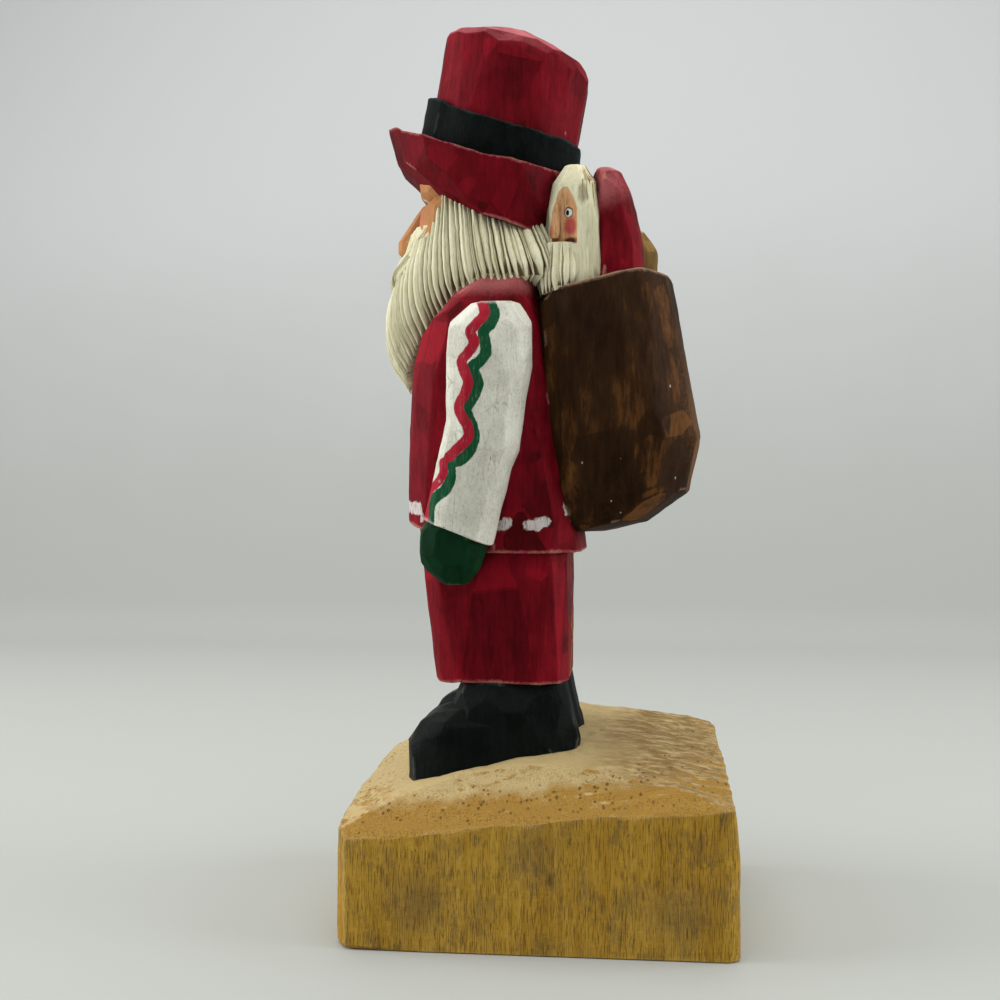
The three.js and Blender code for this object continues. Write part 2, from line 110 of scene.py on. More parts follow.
def bend(a: Vector, b: Vector, c: Vector, d: Vector, part: float) -> Vector:
    """A point on the smooth curve from b to c.

    Args:
        a: The point before them.
        b: Where the stretch starts.
        c: Where it ends.
        d: The point after them.
        part: How far along the stretch, from 0 to 1.

    Returns:
        The point.
    """
    one = max((b - a).length ** 0.5, 1e-4)
    two = max((c - b).length ** 0.5, 1e-4)
    three = max((d - c).length ** 0.5, 1e-4)
    leave = ((b - a) / one - (c - a) / (one + two) + (c - b) / two) * two
    arrive = ((c - b) / two - (d - b) / (two + three) + (d - c) / three) * two
    square = -3 * b + 3 * c - 2 * leave - arrive
    cube = 2 * b - 2 * c + leave + arrive
    return b + leave * part + square * part**2 + cube * part**3


def box(points: Iterable[Vector]) -> tuple[Vector, Vector]:
    """The lowest and the highest corner of the box round points."""
    columns = list(zip(*points))
    return Vector([min(column) for column in columns]), Vector([max(column) for column in columns])


def finder(spots: Sequence[Vector]) -> KDTree:
    """A tree that finds the nearest of many spots.

    Args:
        spots: The spots.

    Returns:
        The tree.
    """
    tree = KDTree(len(spots))
    for index, spot in enumerate(spots):
        tree.insert(spot, index)
    tree.balance()
    return tree


def stand(name: str, bm: bmesh.types.BMesh, materials: Iterable[bpy.types.Material]) -> bpy.types.Object:
    """Puts a mesh in the scene.

    Args:
        name: What it is called.
        bm: The mesh, which is used up.
        materials: What its faces are covered with.

    Returns:
        The object.
    """
    mesh = bpy.data.meshes.new(name)
    bm.to_mesh(mesh)
    bm.free()
    for material in materials:
        mesh.materials.append(material)
    made = bpy.data.objects.new(name, mesh)
    bpy.context.scene.collection.objects.link(made)
    return made


class Wood:
    """A lump of wood under the knife."""

    def __init__(self, paint: Paint) -> None:
        """Takes up an empty lump that will be covered by a paint."""
        self.paint = paint
        self.take(bmesh.new())

    def take(self, bm: bmesh.types.BMesh) -> None:
        """Works on a mesh from now on.

        Its points carry four marks: ridge is 1 on a ridge and falls across the flats, tone is the
        flat's own shade in the same measure, groove is 1 at the bottom of a groove in the hair and
        fall is how far down a lock a point lies.

        Args:
            bm: The mesh.
        """
        self.bm = bm
        layers = bm.verts.layers.float
        names = ("ridge", "tone", "groove", "fall")
        self.ridge, self.tone, self.groove, self.fall = (layers.get(n) or layers.new(n) for n in names)

    @classmethod
    def block(cls, low: Vector, high: Vector, paint: Paint) -> "Wood":
        """Saws a block.

        Args:
            low: Its lowest corner.
            high: Its highest corner.
            paint: What will cover it.

        Returns:
            The block.
        """
        wood = cls(paint)
        bmesh.ops.create_cube(wood.bm, size=1.0)
        bmesh.ops.scale(wood.bm, vec=high - low, verts=wood.bm.verts[:])
        bmesh.ops.translate(wood.bm, vec=(low + high) / 2, verts=wood.bm.verts[:])
        return wood

    @classmethod
    def tube(cls, paint: Paint, sides: int, rows: int, radius: float = 1.0, length: float = 1.0) -> "Wood":
        """Turns a closed tube whose side is a grid.

        Args:
            paint: What will cover it.
            sides: How many columns the grid has.
            rows: How many rows it has.
            radius: The tube's radius.
            length: Its length.

        Returns:
            The tube.
        """
        wood = cls(paint)
        bmesh.ops.create_cone(
            wood.bm, cap_ends=True, cap_tris=False, segments=sides, radius1=radius, radius2=radius,
            depth=length,
        )
        upright = [e for e in wood.bm.edges if abs(e.verts[0].co.z - e.verts[1].co.z) > length / 2]
        bmesh.ops.subdivide_edges(wood.bm, edges=upright, cuts=rows - 1, use_grid_fill=True)
        return wood

    def hub(self) -> "Wood":
        """Fans out the ends of a tube from their middles."""
        bmesh.ops.poke(self.bm, faces=[face for face in self.bm.faces if len(face.verts) > 4])
        return self

    def reach(self, heading: Vector) -> float:
        """How far the lump reaches along a heading."""
        return max(vert.co.dot(heading) for vert in self.bm.verts)

    def pare(self, point: Vector, normal: Vector) -> None:
        """Takes off the wood beyond a plane.

        Args:
            point: A point of the plane.
            normal: The way out of the wood.
        """
        geom = [*self.bm.verts, *self.bm.edges, *self.bm.faces]
        cut = bmesh.ops.bisect_plane(
            self.bm, geom=geom, dist=1e-4, plane_co=point, plane_no=normal, clear_outer=True
        )
        edges = [part for part in cut["geom_cut"] if isinstance(part, bmesh.types.BMEdge)]
        rim = [edge for edge in edges if edge.is_boundary]
        if rim:
            bmesh.ops.edgeloop_fill(self.bm, edges=rim)

    def nick(self, count: int, deep: float, seed: int, flatten: float = 0.7) -> None:
        """Takes small chips off the corners that stand out most.

        Args:
            count: How many chips.
            deep: The deepest chip.
            seed: Which stream of differences.
            flatten: How far the strokes keep to the level.
        """
        for stroke in range(count):
            angle = TURN * chance(seed, 3 * stroke)
            lift = flatten * (2 * chance(seed, 3 * stroke + 1) - 1)
            heading = Vector((math.cos(angle), math.sin(angle), lift)).normalized()
            chip = deep * (0.35 + 0.65 * chance(seed, 3 * stroke + 2))
            self.pare(heading * (self.reach(heading) - chip), heading)

    def soften(self, worn: float = 0.34, band: float = 4.0, seed: int = 1) -> "Wood":
        """Rounds the ridges between the flats and marks the flats.

        Args:
            worn: The width of the rounding.
            band: How far from a ridge its mark falls to nothing.
            seed: Which stream of shades.

        Returns:
            The same lump.
        """
        bmesh.ops.remove_doubles(self.bm, verts=self.bm.verts[:], dist=2.4 * worn)
        bmesh.ops.dissolve_degenerate(self.bm, edges=self.bm.edges[:], dist=0.02)
        rounded = bmesh.ops.bevel(
            self.bm, geom=self.bm.edges[:], offset=worn, offset_type="OFFSET", segments=1,
            profile=0.5, affect="EDGES", clamp_overlap=True, material=-1,
        )
        strips = set(rounded["faces"])
        for vert in self.bm.verts:
            vert[self.ridge] = 1.0
        flats = [face for face in self.bm.faces if face not in strips]
        poked = bmesh.ops.poke(self.bm, faces=flats, center_mode="MEAN")
        for index, vert in enumerate(poked["verts"]):
            spans = [
                (vert.co - a.co).cross((b.co - a.co).normalized()).length
                for a, b in (
                    [other for other in face.verts if other is not vert] for face in vert.link_faces
                ) if (b.co - a.co).length > 1e-6
            ]
            away = min(spans, default=0.0) / band
            vert[self.ridge] = 1.0 - away
            vert[self.tone] = (chance(seed + 0.5, index) - 0.5) * away
        return self

    def score(self, start: Vector, end: Vector, outward: Vector, width: float, height: float) -> None:
        """Cuts a V whose sharp bottom runs from one point to another.

        Args:
            start: One end of the bottom.
            end: Its other end.
            outward: The way out of the wood.
            width: How wide the V is at the height.
            height: The height.
        """
        wedge = Wood(self.paint)
        length = (end - start).length
        bmesh.ops.create_cone(
            wedge.bm, cap_ends=True, cap_tris=False, segments=3, radius1=1, radius2=1, depth=length
        )
        ahead = (end - start).normalized()
        across = ahead.cross(outward).normalized()
        away = across.cross(ahead)
        corner = min(wedge.bm.verts, key=lambda vert: vert.co.y).co
        low = corner.y
        for vert in wedge.bm.verts:
            side, up, along = vert.co.x, vert.co.y - low, vert.co.z
            place = across * side * width / math.sqrt(3) + away * up * height / 1.5 + ahead * along
            vert.co = (start + end) / 2 + place
        bmesh.ops.recalc_face_normals(wedge.bm, faces=wedge.bm.faces[:])
        for vert in wedge.bm.verts:
            vert[wedge.ridge] = 0.3
        self.work(Cut.TAKE, wedge)

    def work(self, cut: Cut, *others: "Wood") -> "Wood":
        """Joins other lumps to this one or takes them out of it.

        Args:
            cut: What to do.
            others: The lumps, which are used up.

        Returns:
            The same lump.
        """
        for other in others:
            mesh = solid(cut, self, other)
            bm = bmesh.new()
            bm.from_mesh(mesh)
            bpy.data.meshes.remove(mesh)
            self.take(bm)
        return self

    def turn(self, matrix: Matrix) -> "Wood":
        """Moves the lump, and keeps its outside outside if the move mirrors it.

        Args:
            matrix: The move.

        Returns:
            The same lump.
        """
        bmesh.ops.transform(self.bm, matrix=matrix, verts=self.bm.verts[:])
        if matrix.determinant() < 0:
            bmesh.ops.reverse_faces(self.bm, faces=self.bm.faces[:])
        return self

    def twin(self) -> "Wood":
        """The same lump for his other side.

        Returns:
            The other lump.
        """
        other = Wood(self.paint)
        other.take(self.bm.copy())
        return other.turn(Matrix.Scale(-1, 4, (1, 0, 0)))

    def coat(self) -> "Wood":
        """Gives every face the lump's paint.

        Returns:
            The same lump.
        """
        for face in self.bm.faces:
            face.material_index = int(self.paint)
        return self


def shop(paint: Paint) -> bpy.types.Material:
    """The material of a paint, made when it is first asked for."""
    name = paint.name.lower()
    return bpy.data.materials.get(name) or bpy.data.materials.new(name)


def solid(cut: Cut, whole: Wood, part: Wood) -> bpy.types.Mesh:
    """Joins two closed lumps or takes one from the other.

    Args:
        cut: What to do.
        whole: The lump that is worked on, which is used up.
        part: The lump that is joined to it or taken from it, which is used up too.

    Returns:
        The closed mesh that comes of it.
    """
    first, second = (stand("lump", wood.bm, map(shop, Paint)) for wood in (whole, part))
    modifier = first.modifiers.new("cut", "BOOLEAN")
    modifier.operation = cut.value
    modifier.solver = "MANIFOLD"
    modifier.object = second
    graph = bpy.context.evaluated_depsgraph_get()
    mesh = bpy.data.meshes.new_from_object(first.evaluated_get(graph))
    for made in (first, second):
        data = made.data
        bpy.data.objects.remove(made)
        bpy.data.meshes.remove(data)
    return mesh


@dataclass(frozen=True)
class Level:
    """Front, back and half width of a form at a height, and how far its middle lies to his left."""

    at: float
    front: float
    back: float
    half: float
    middle: float = 0.0

    def edge(self, angle: float, squareness: float) -> Vector:
        """Where the form has its edge.

        Args:
            angle: 0 is his front and a quarter turn is his left.
            squareness: 2 is an ellipse, and more is squarer.

        Returns:
            The point.
        """
        power = 2 / squareness
        along = math.copysign(abs(math.cos(angle)) ** power, math.cos(angle))
        across = math.copysign(abs(math.sin(angle)) ** power, math.sin(angle))
        middle = (self.front + self.back) / 2
        deep = middle - along * (self.back - self.front) / 2
        return Vector((self.middle + self.half * across, deep, self.at))


@dataclass(frozen=True)
class Whittled:
    """A rounded form whittled flat by flat, with a ring of flat cuts between each two levels."""

    levels: tuple[Level, ...]
    squareness: float = 2.6
    cuts: int = 12
    slip: float = 0.35
    seed: int = 1
    nicks: int = 14
    chip: float = 0.5

    def carve(self, paint: Paint) -> Wood:
        """Whittles the form, with its ridges still sharp.

        Args:
            paint: What will cover it.

        Returns:
            The form.
        """
        corners = box(level.edge(k * TURN / 4, self.squareness) for level in self.levels for k in range(4))
        wood = Wood.block(*corners, paint)
        for ring, (below, above) in enumerate(zip(self.levels, self.levels[1:])):
            for cut in range(self.cuts):
                stroke = ring * self.cuts + cut
                slip = wander(self.seed, stroke, self.slip)
                angle = TURN * (cut + 0.5 * (ring % 2) + slip) / self.cuts
                lower, upper, outward = self.facet(below, above, angle)
                wood.pare((lower + upper) / 2, outward)
        return wood

    def facet(self, below: Level, above: Level, angle: float) -> tuple[Vector, Vector, Vector]:
        """Where a cut at an angle meets two levels, and its way out of the wood.

        Args:
            below: The lower level.
            above: The upper one.
            angle: The angle, as in Level.edge.

        Returns:
            The lower point, the upper point and the way out.
        """
        lower, upper = (level.edge(angle, self.squareness) for level in (below, above))
        ahead, behind = (below.edge(angle + step, self.squareness) for step in (0.12, -0.12))
        return lower, upper, (ahead - behind).normalized().cross(upper - lower)

    def finish(self, paint: Paint) -> Wood:
        """Whittles the form, chips its corners and rounds its ridges.

        Args:
            paint: What will cover it.

        Returns:
            The form.
        """
        wood = self.carve(paint)
        wood.nick(self.nicks, self.chip, self.seed + 7)
        return wood.soften(seed=self.seed).coat()

    def strands(self, wood: Wood, angles: Iterable[float], deep: float, wide: float) -> None:
        """Scores upright strands into the form.

        Args:
            wood: The form.
            angles: Where the strands run, 0 being his front and a quarter turn his left.
            deep: How deep the V-tool goes.
            wide: How wide it cuts.
        """
        for angle in angles:
            for below, above in zip(self.levels, self.levels[1:]):
                lower, upper, outward = self.facet(below, above, angle)
                outward.normalize()
                wood.score(lower - outward * deep, upper - outward * deep, outward, wide, deep)


class Ring:
    """A closed smooth curve through points, which is sampled once and read by share."""

    SAMPLES = 480

    def __init__(self, points: Sequence[Vector]) -> None:
        """Samples a smooth curve through the points."""
        self.table = [self._spot(points, k / self.SAMPLES) for k in range(self.SAMPLES)]
        self.length = sum((a - b).length for a, b in zip(self.table, self.table[1:] + self.table[:1]))

    @staticmethod
    def _spot(points: Sequence[Vector], share: float) -> Vector:
        """The curve's point at a share of its turns, each point's stretch counting alike.

        Args:
            points: The points of the ring.
            share: The share.

        Returns:
            The point.
        """
        whole = math.floor(share * len(points))
        near = (points[(whole + k) % len(points)] for k in (-1, 0, 1, 2))
        return bend(*near, share * len(points) - whole)

    def at(self, share: float) -> Vector:
        """The point at a share of the way round.

        Args:
            share: How far round, 1 being once.

        Returns:
            The point.
        """
        place = (share % 1.0) * self.SAMPLES
        whole = int(place)
        part = place - whole
        return self.table[whole % self.SAMPLES].lerp(self.table[(whole + 1) % self.SAMPLES], part)


@dataclass(frozen=True)
class Strand:
    """A guide strand: where it starts, where it ends and how far it bows out."""

    top: tuple[float, float, float]
    bottom: tuple[float, float, float]
    bow: float = 0.0


@dataclass(frozen=True)
class Locks:
    """Locks of hair: a skirt hung from guide strands and scored by a V-tool.

    The guides run from the front round by his left. Unless they close the ring by themselves they
    stop at the middle of the back and are mirrored.
    """

    guides: tuple[Strand, ...]
    heart: tuple[tuple[float, float, float], tuple[float, float, float]]
    closed: bool = False
    pitch: float = 2.4
    depth: float = 1.2
    rows: int = 40
    tooth: float = 0.05
    lean: float = 0.0
    curl: float = 0.0
    seed: int = 3

    VEE = (1.0, 0.42, 0.1, -0.04, -0.1, -0.04, 0.1, 0.42)
    FIN = (1.0, 0.7, 0.38, 0.1, 0.0, 0.1, 0.38, 0.7)
    FIN_FROM, FIN_TO = 0.72, 0.98
    STRAY, SWAY = 0.36, 0.13
    SECOND = 0.42
    RIPPLE, UNEVEN, LIFT = 0.07, 0.1, 0.16

    def ring(self, pick: Callable[[Strand], tuple[float, float, float]]) -> Ring:
        """The ring through one point of each guide.

        Args:
            pick: Picks a guide's point.

        Returns:
            The ring.
        """
        near = [Vector(pick(guide)) for guide in self.guides]
        far = [Vector((-p.x, p.y, p.z)) for p in reversed(near[1:-1])]
        return Ring(near if self.closed else near + far)

    def carve(self, paint: Paint) -> Wood:
        """Makes the skirt and scores it.

        Args:
            paint: What will cover it.

        Returns:
            The skirt.
        """
        top = self.ring(lambda guide: guide.top)
        bottom = self.ring(lambda guide: guide.bottom)
        bows = self.ring(lambda guide: (0.0, guide.bow, 0.0))
        count = round((top.length + bottom.length) / 2 / self.pitch)
        steps = len(self.VEE)
        wood = Wood.tube(paint, count * steps, self.rows).hub()
        for vert in wood.bm.verts:
            down = 0.5 - vert.co.z
            if vert.co.xy.length < 0.5:
                vert.co = Vector(self.heart[0 if down < 0.5 else 1])
                vert[wood.fall] = down
                continue
            share = math.atan2(vert.co.x, -vert.co.y) / TURN
            column = round((share % 1.0) * count * steps) % (count * steps)
            self.score(wood, vert, column, count, down, (top, bottom, bows))
        bmesh.ops.recalc_face_normals(wood.bm, faces=wood.bm.faces[:])
        return wood.coat()

    def cut(self, lock: int, step: int, down: float) -> float:
        """How deep the tools have gone at one column of a lock, where 1 is a full groove.

        Args:
            lock: The lock.
            step: The column in it.
            down: How far down the lock, from 0 to 1.

        Returns:
            The depth.
        """
        fin = ease(down, self.FIN_FROM, self.FIN_TO)
        vee = self.VEE[step] * (1 - fin) + self.FIN[step] * fin
        start = max(0.0, chance(self.seed + 1, lock) - 0.55) * 0.7
        strength = (0.6 + 0.4 * chance(self.seed + 7, lock)) * ease(down, start - 0.02, start + 0.12)
        deep = vee * strength * (0.75 + 0.5 * down) if vee > 0 else vee
        second = 2 + int(5 * chance(self.seed + 4, lock))
        if chance(self.seed + 5, lock) > 0.4 and step == second:
            low = 0.5 * chance(self.seed + 6, lock)
            deep += self.SECOND * ease(down, low, low + 0.1) * ease(1 - down, 0.0, 0.1)
        return deep

    def score(
        self, wood: Wood, vert: bmesh.types.BMVert, column: int, count: int, down: float,
        rings: tuple[Ring, Ring, Ring],
    ) -> None:
        """Puts one point of the skirt in its place and cuts its groove.

        Args:
            wood: The skirt.
            vert: The point.
            column: Its column, counted from the front round by his left.
            count: How many locks there are.
            down: How far down it is, from 0 to 1.
            rings: The rings of the tops, the bottoms and the bows.
        """
        top, bottom, bows = rings
        steps = len(self.VEE)
        lock, step = divmod(column, steps)
        phase = step / steps

        def sway(which: int) -> float:
            """How far a groove strays to the side here.

            Args:
                which: The groove.

            Returns:
                The share of a lock's width.
            """
            rate = 0.4 + chance(self.seed + 3, which)
            wave = math.sin(TURN * (chance(self.seed + 2, which) + down * rate))
            return wander(self.seed, which, self.STRAY) + self.SWAY * wave

        strayed = sway(lock) * (1 - phase) + sway((lock + 1) % count) * phase
        share = (lock + phase + strayed) / count
        share += self.lean * math.sin(TURN * share) * (1 - down)
        deep = self.cut(lock, step, down)
        ragged = 0.3 + 0.7 * chance(self.seed + 9, lock)
        drop = down * (1 - self.tooth * (max(0.0, deep) * ragged + 0.3 * chance(self.seed + 10, lock)))
        after, before, here = (
            top.at(share + step).lerp(bottom.at(share + step), drop) for step in (0.01, -0.01, 0.0)
        )
        out = (bottom.at(share) - top.at(share)).cross(after - before).normalized()
        bow = bows.at(share).y * math.sin(math.pi * drop**1.8)
        taper = ease(down, -0.02, 0.06)
        rough = wander(self.seed + 8, column, self.RIPPLE) + self.UNEVEN * noise.noise(here / 2.5)
        lift = wander(self.seed + 11, lock, self.LIFT) * (1 - self.VEE[step])
        tuck = self.curl * ease(down, 0.88, 1.0)
        vert.co = here + out * (bow - tuck - (deep * taper + rough - lift) * self.depth)
        vert[wood.groove] = max(0.0, min(1.0, deep * taper))
        vert[wood.fall] = down


@dataclass
class Foot:
    """The uncarved foot of the block, with a hacked top that falls to its edges."""

    width: float = 90.0
    depth: float = 103.0
    height: float = CREST
    front_fall: float = 14.0
    back_fall: float = 6.0
    side_fall: float = 5.0
    bevel_width: float = 12.0
    bevel_drop: float = 10.0
    splits: tuple[tuple[float, float, float], ...] = (
        (-0.9, -1.6, -5.2), (-0.1, -1, -1.8), (0.4, -1.3, 0.4), (0.85, 0.5, 3),
    )
    corners: tuple[tuple[int, int, float, float], ...] = (
        (1, -1, 5.0, 3.0), (1, 1, 1.5, 2.8), (-1, -1, 2.5, 3.5), (-1, 1, 9.0, 3.4),
    )

    def top(self, x: float, y: float) -> float:
        """The height of the hacked top over a spot.

        Args:
            x: How far to his left.
            y: How far behind the middle.

        Returns:
            The height.
        """
        half_x, half_y = self.width / 2, self.depth / 2
        crest = 0.06 * self.depth
        fall = self.front_fall if y < crest else self.back_fall
        run = -half_y - crest if y < crest else half_y - crest
        ridge = half_x - self.bevel_width
        lean = (x + half_x) / (ridge + half_x)
        droop = max(0.0, x / ridge) ** 2
        return self.height - fall * ((y - crest) / run) ** 2 - self.side_fall * (lean + droop) / 2

    def carve(self) -> Wood:
        """Saws the block, hacks its top, splits its bevel and cuts its corners.

        Returns:
            The foot.
        """
        half_x, half_y = self.width / 2, self.depth / 2
        corner = Vector((half_x, half_y, 0))
        wood = Wood.block(-corner, corner + Vector((0, 0, self.height + 2)), Paint.BARE)
        rows, columns = 7, 5
        for stroke in range(rows * columns):
            row, column = divmod(stroke, columns)
            x = half_x * (-0.85 + 1.5 * (column + wander(5, stroke, 0.25)) / (columns - 1))
            y = half_y * (-0.88 + 1.76 * (row + wander(6, stroke, 0.25)) / (rows - 1))
            slope_x = (self.top(x + 1, y) - self.top(x - 1, y)) / 2
            slope_y = (self.top(x, y + 1) - self.top(x, y - 1)) / 2
            wood.pare(Vector((x, y, self.top(x, y))), Vector((-slope_x, -slope_y, 1)))
        for share, lean, rise in self.splits:
            foot = self.height - self.side_fall - self.bevel_drop + rise
            slope = Vector((self.bevel_drop, lean, self.bevel_width))
            wood.pare(Vector((half_x, share * half_y, foot)), slope)
        for side_x, side_y, wide, deep in self.corners:
            corner = Vector((side_x * half_x, side_y * (half_y - deep), 0))
            wood.pare(corner, Vector((side_x * deep, side_y * wide, 0)))
        wood.pare(Vector((0, half_y, 0.5 * self.height)), Vector((0, 1, 0.1)))
        for stroke in range(10):
            angle = TURN * (stroke + wander(8, stroke, 0.3)) / 10
            heading = Vector((math.cos(angle), math.sin(angle), -0.8 - 0.5 * chance(9, stroke)))
            place = wood.reach(heading) - 0.5 - 0.7 * chance(10, stroke)
            wood.pare(heading * place / heading.length_squared, heading)
        return wood.soften(worn=0.4, seed=131).coat()


@dataclass
class Legs:
    """Boots and trousers."""

    splay: float = 13.0
    centre: float = 12.0
    leg_cut: float = 6.0
    sole: Whittled = Whittled(
        (Level(-16, -37, 10.5, 11, 12), Level(-3, -37, 10.8, 11, 12), Level(4, -34.5, 10.2, 10.5, 12),
         Level(8, -29, 8, 9, 12), Level(10, -22, 5, 7, 12)),
        squareness=3, cuts=10, seed=11, nicks=90, chip=1.2,
    )
    ankle: Whittled = Whittled(
        (Level(-8, -25.5, 9, 10, 12), Level(0, -26.2, 9.7, 10.7, 12), Level(10, -24.6, 7.5, 10, 12),
         Level(20, -20, 5.5, 7.4, 11)),
        squareness=3, cuts=9, seed=12, nicks=40, chip=0.9,
    )
    column: Whittled = Whittled(
        (Level(15.3, -29.6, 7, 23), Level(30, -31.6, 7.4, 23.8), Level(60, -34.8, 7.4, 24.4)),
        squareness=4.5, cuts=12, slip=0.25, seed=21, nicks=8,
    )

    def boots(self) -> list[Wood]:
        """Both boots, with each toe turned out.

        Returns:
            The boots.
        """
        boot = self.sole.finish(Paint.BOOT).work(Cut.JOIN, self.ankle.finish(Paint.BOOT))
        hinge = Matrix.Translation((self.centre, 0, 0))
        boot.turn(hinge @ Matrix.Rotation(math.radians(self.splay), 4, "Z") @ hinge.inverted())
        return [boot, boot.twin()]

    def trousers(self) -> Wood:
        """One square column with a V front and back that parts the legs.

        Returns:
            The trousers.
        """
        wood = self.column.finish(Paint.TROUSER)
        hem, hip = self.column.levels[0], self.column.levels[-1]
        for out, low, high in ((-1, hem.front, hip.front), (1, hem.back, hip.back)):
            start = Vector((0, low - out * self.leg_cut, hem.at - 1))
            end = Vector((0, high - out * self.leg_cut, hip.at))
            wood.score(start, end, Vector((0, out, 0)), 2.4 * self.leg_cut, 2 * self.leg_cut)
        return wood

    def carve(self) -> list[Wood]:
        """Boots and trousers."""
        return [*self.boots(), self.trousers()]


@dataclass
class Coat:
    """The coat, its sleeves and the mittens."""

    body: Whittled = Whittled(
        (Level(50.8, -36, 11.4, 27), Level(58, -37.4, 11.4, 28), Level(80, -37.4, 8.4, 29),
         Level(100, -36.4, 5, 29.6), Level(114, -32.6, 2, 29.4), Level(121, -26, 1, 27.6),
         Level(126, -20, 0, 25.6), Level(131, -16, -2, 18)),
        squareness=3.4, cuts=14, slip=0.3, seed=31, nicks=10,
    )
    upper: Whittled = Whittled(
        (Level(66, -24.5, -10.5, 8.8, 28), Level(78, -24.4, -5.2, 10.5, 28), Level(86, -24.6, -4, 10.8, 28),
         Level(101, -25.4, -1.8, 10.2, 28), Level(111, -23.4, -2, 9, 28), Level(117, -17, -5.4, 6.8, 28)),
        squareness=2.8, cuts=11, seed=41, nicks=12,
    )
    fore: Whittled = Whittled(
        (Level(50, -32, -13, 9.4, 28.6), Level(62, -29.8, -10, 9.8, 28.6), Level(76, -26.6, -6.6, 10, 28.4),
         Level(90, -24, -4, 9.6, 28.4)),
        squareness=2.8, cuts=10, seed=42, nicks=0,
    )
    hand: Whittled = Whittled(
        (Level(42.8, -24.5, -18.5, 4, 31), Level(46, -28.6, -16, 5.6, 31), Level(50, -31, -14.4, 6.6, 31),
         Level(57.5, -30.4, -13, 6.8, 31), Level(61, -27, -14, 6, 31)),
        cuts=8, seed=51, nicks=6,
    )
    creases: tuple[float, float] = (2.15, 1.95)
    crease_deep: float = 0.6
    crease_wide: float = 1.0

    def coat(self) -> Wood:
        """The coat's body, with its hem cut up in front and its opening scored.

        Returns:
            The body of the coat.
        """
        hem, breast = self.body.levels[0], self.body.levels[3]
        wood = self.body.carve(Paint.COAT)
        wood.pare(Vector((0, -14, hem.at)), Vector((0, -0.34, -1)))
        wood.nick(self.body.nicks, self.body.chip, 37)
        wood.soften(seed=132).coat()
        start = Vector((0, hem.front, hem.at - 1))
        end = Vector((0, breast.front, breast.at))
        wood.score(start, end, Vector((0, -1, 0)), 3, 3)
        return wood

    def sleeves(self) -> list[Wood]:
        """Both sleeves, bent a little forward at the elbow.

        Returns:
            The sleeves.
        """
        fore = self.fore.carve(Paint.SLEEVE)
        fore.pare(Vector((0, -30, 59.8)), Vector((0, -0.38, -1)))
        fore.nick(8, 0.5, 47)
        sleeve = self.upper.finish(Paint.SLEEVE).work(Cut.JOIN, fore.soften(seed=133).coat())
        for form, angle in zip((self.upper, self.fore), self.creases):
            form.strands(sleeve, [angle], self.crease_deep, self.crease_wide)
        return [sleeve, sleeve.twin()]

    def mittens(self) -> list[Wood]:
        """Both mittens."""
        mitten = self.hand.finish(Paint.MITTEN)
        return [mitten, mitten.twin()]

    def carve(self) -> list[Wood]:
        """The whole coat and the mittens."""
        return [self.coat(), *self.sleeves(), *self.mittens()]


@dataclass
class Sack:
    """The full sack on his back, with its mouth hollowed."""

    bag: Whittled = Whittled(
        (Level(56.4, 2, 17, 16), Level(59, 0, 28.5, 21.5), Level(67, -2, 39.8, 26.5),
         Level(84, -4, 43.6, 29.4), Level(108, -5, 39, 29), Level(132, -4, 35, 26.6)),
        squareness=2.7, cuts=13, seed=61, nicks=14, chip=0.7,
    )
    mouth: Whittled = Whittled(
        (Level(100, -8, 34.4, 24), Level(140, -8, 31, 23)), squareness=2.7, cuts=14, seed=62,
    )
    rim: Vector = field(default_factory=lambda: Vector((0, -1.5, 120)))
    slope: float = 0.24
    back_slope: float = 0.12
    back_reach: float = 28.5
    hollow: float = 2.6

    def carve(self) -> list[Wood]:
        """Whittles the bag, cuts its rim and hollows its mouth.

        Returns:
            The sack.
        """
        wood = self.bag.carve(Paint.SACK)
        wood.pare(self.rim, Vector((0, -self.slope, 1)))
        fold = self.rim + Vector((0, self.back_reach, self.back_reach * self.slope))
        wood.pare(fold, Vector((0, self.back_slope, 1)))
        wood.nick(self.bag.nicks, self.bag.chip, 67)
        wood.soften(seed=134).coat()
        mouth = self.mouth.carve(Paint.SACK)
        mouth.pare(self.rim - Vector((0, 0, self.hollow)), Vector((0, self.slope, -1)))
        return [wood.work(Cut.TAKE, mouth.coat())]


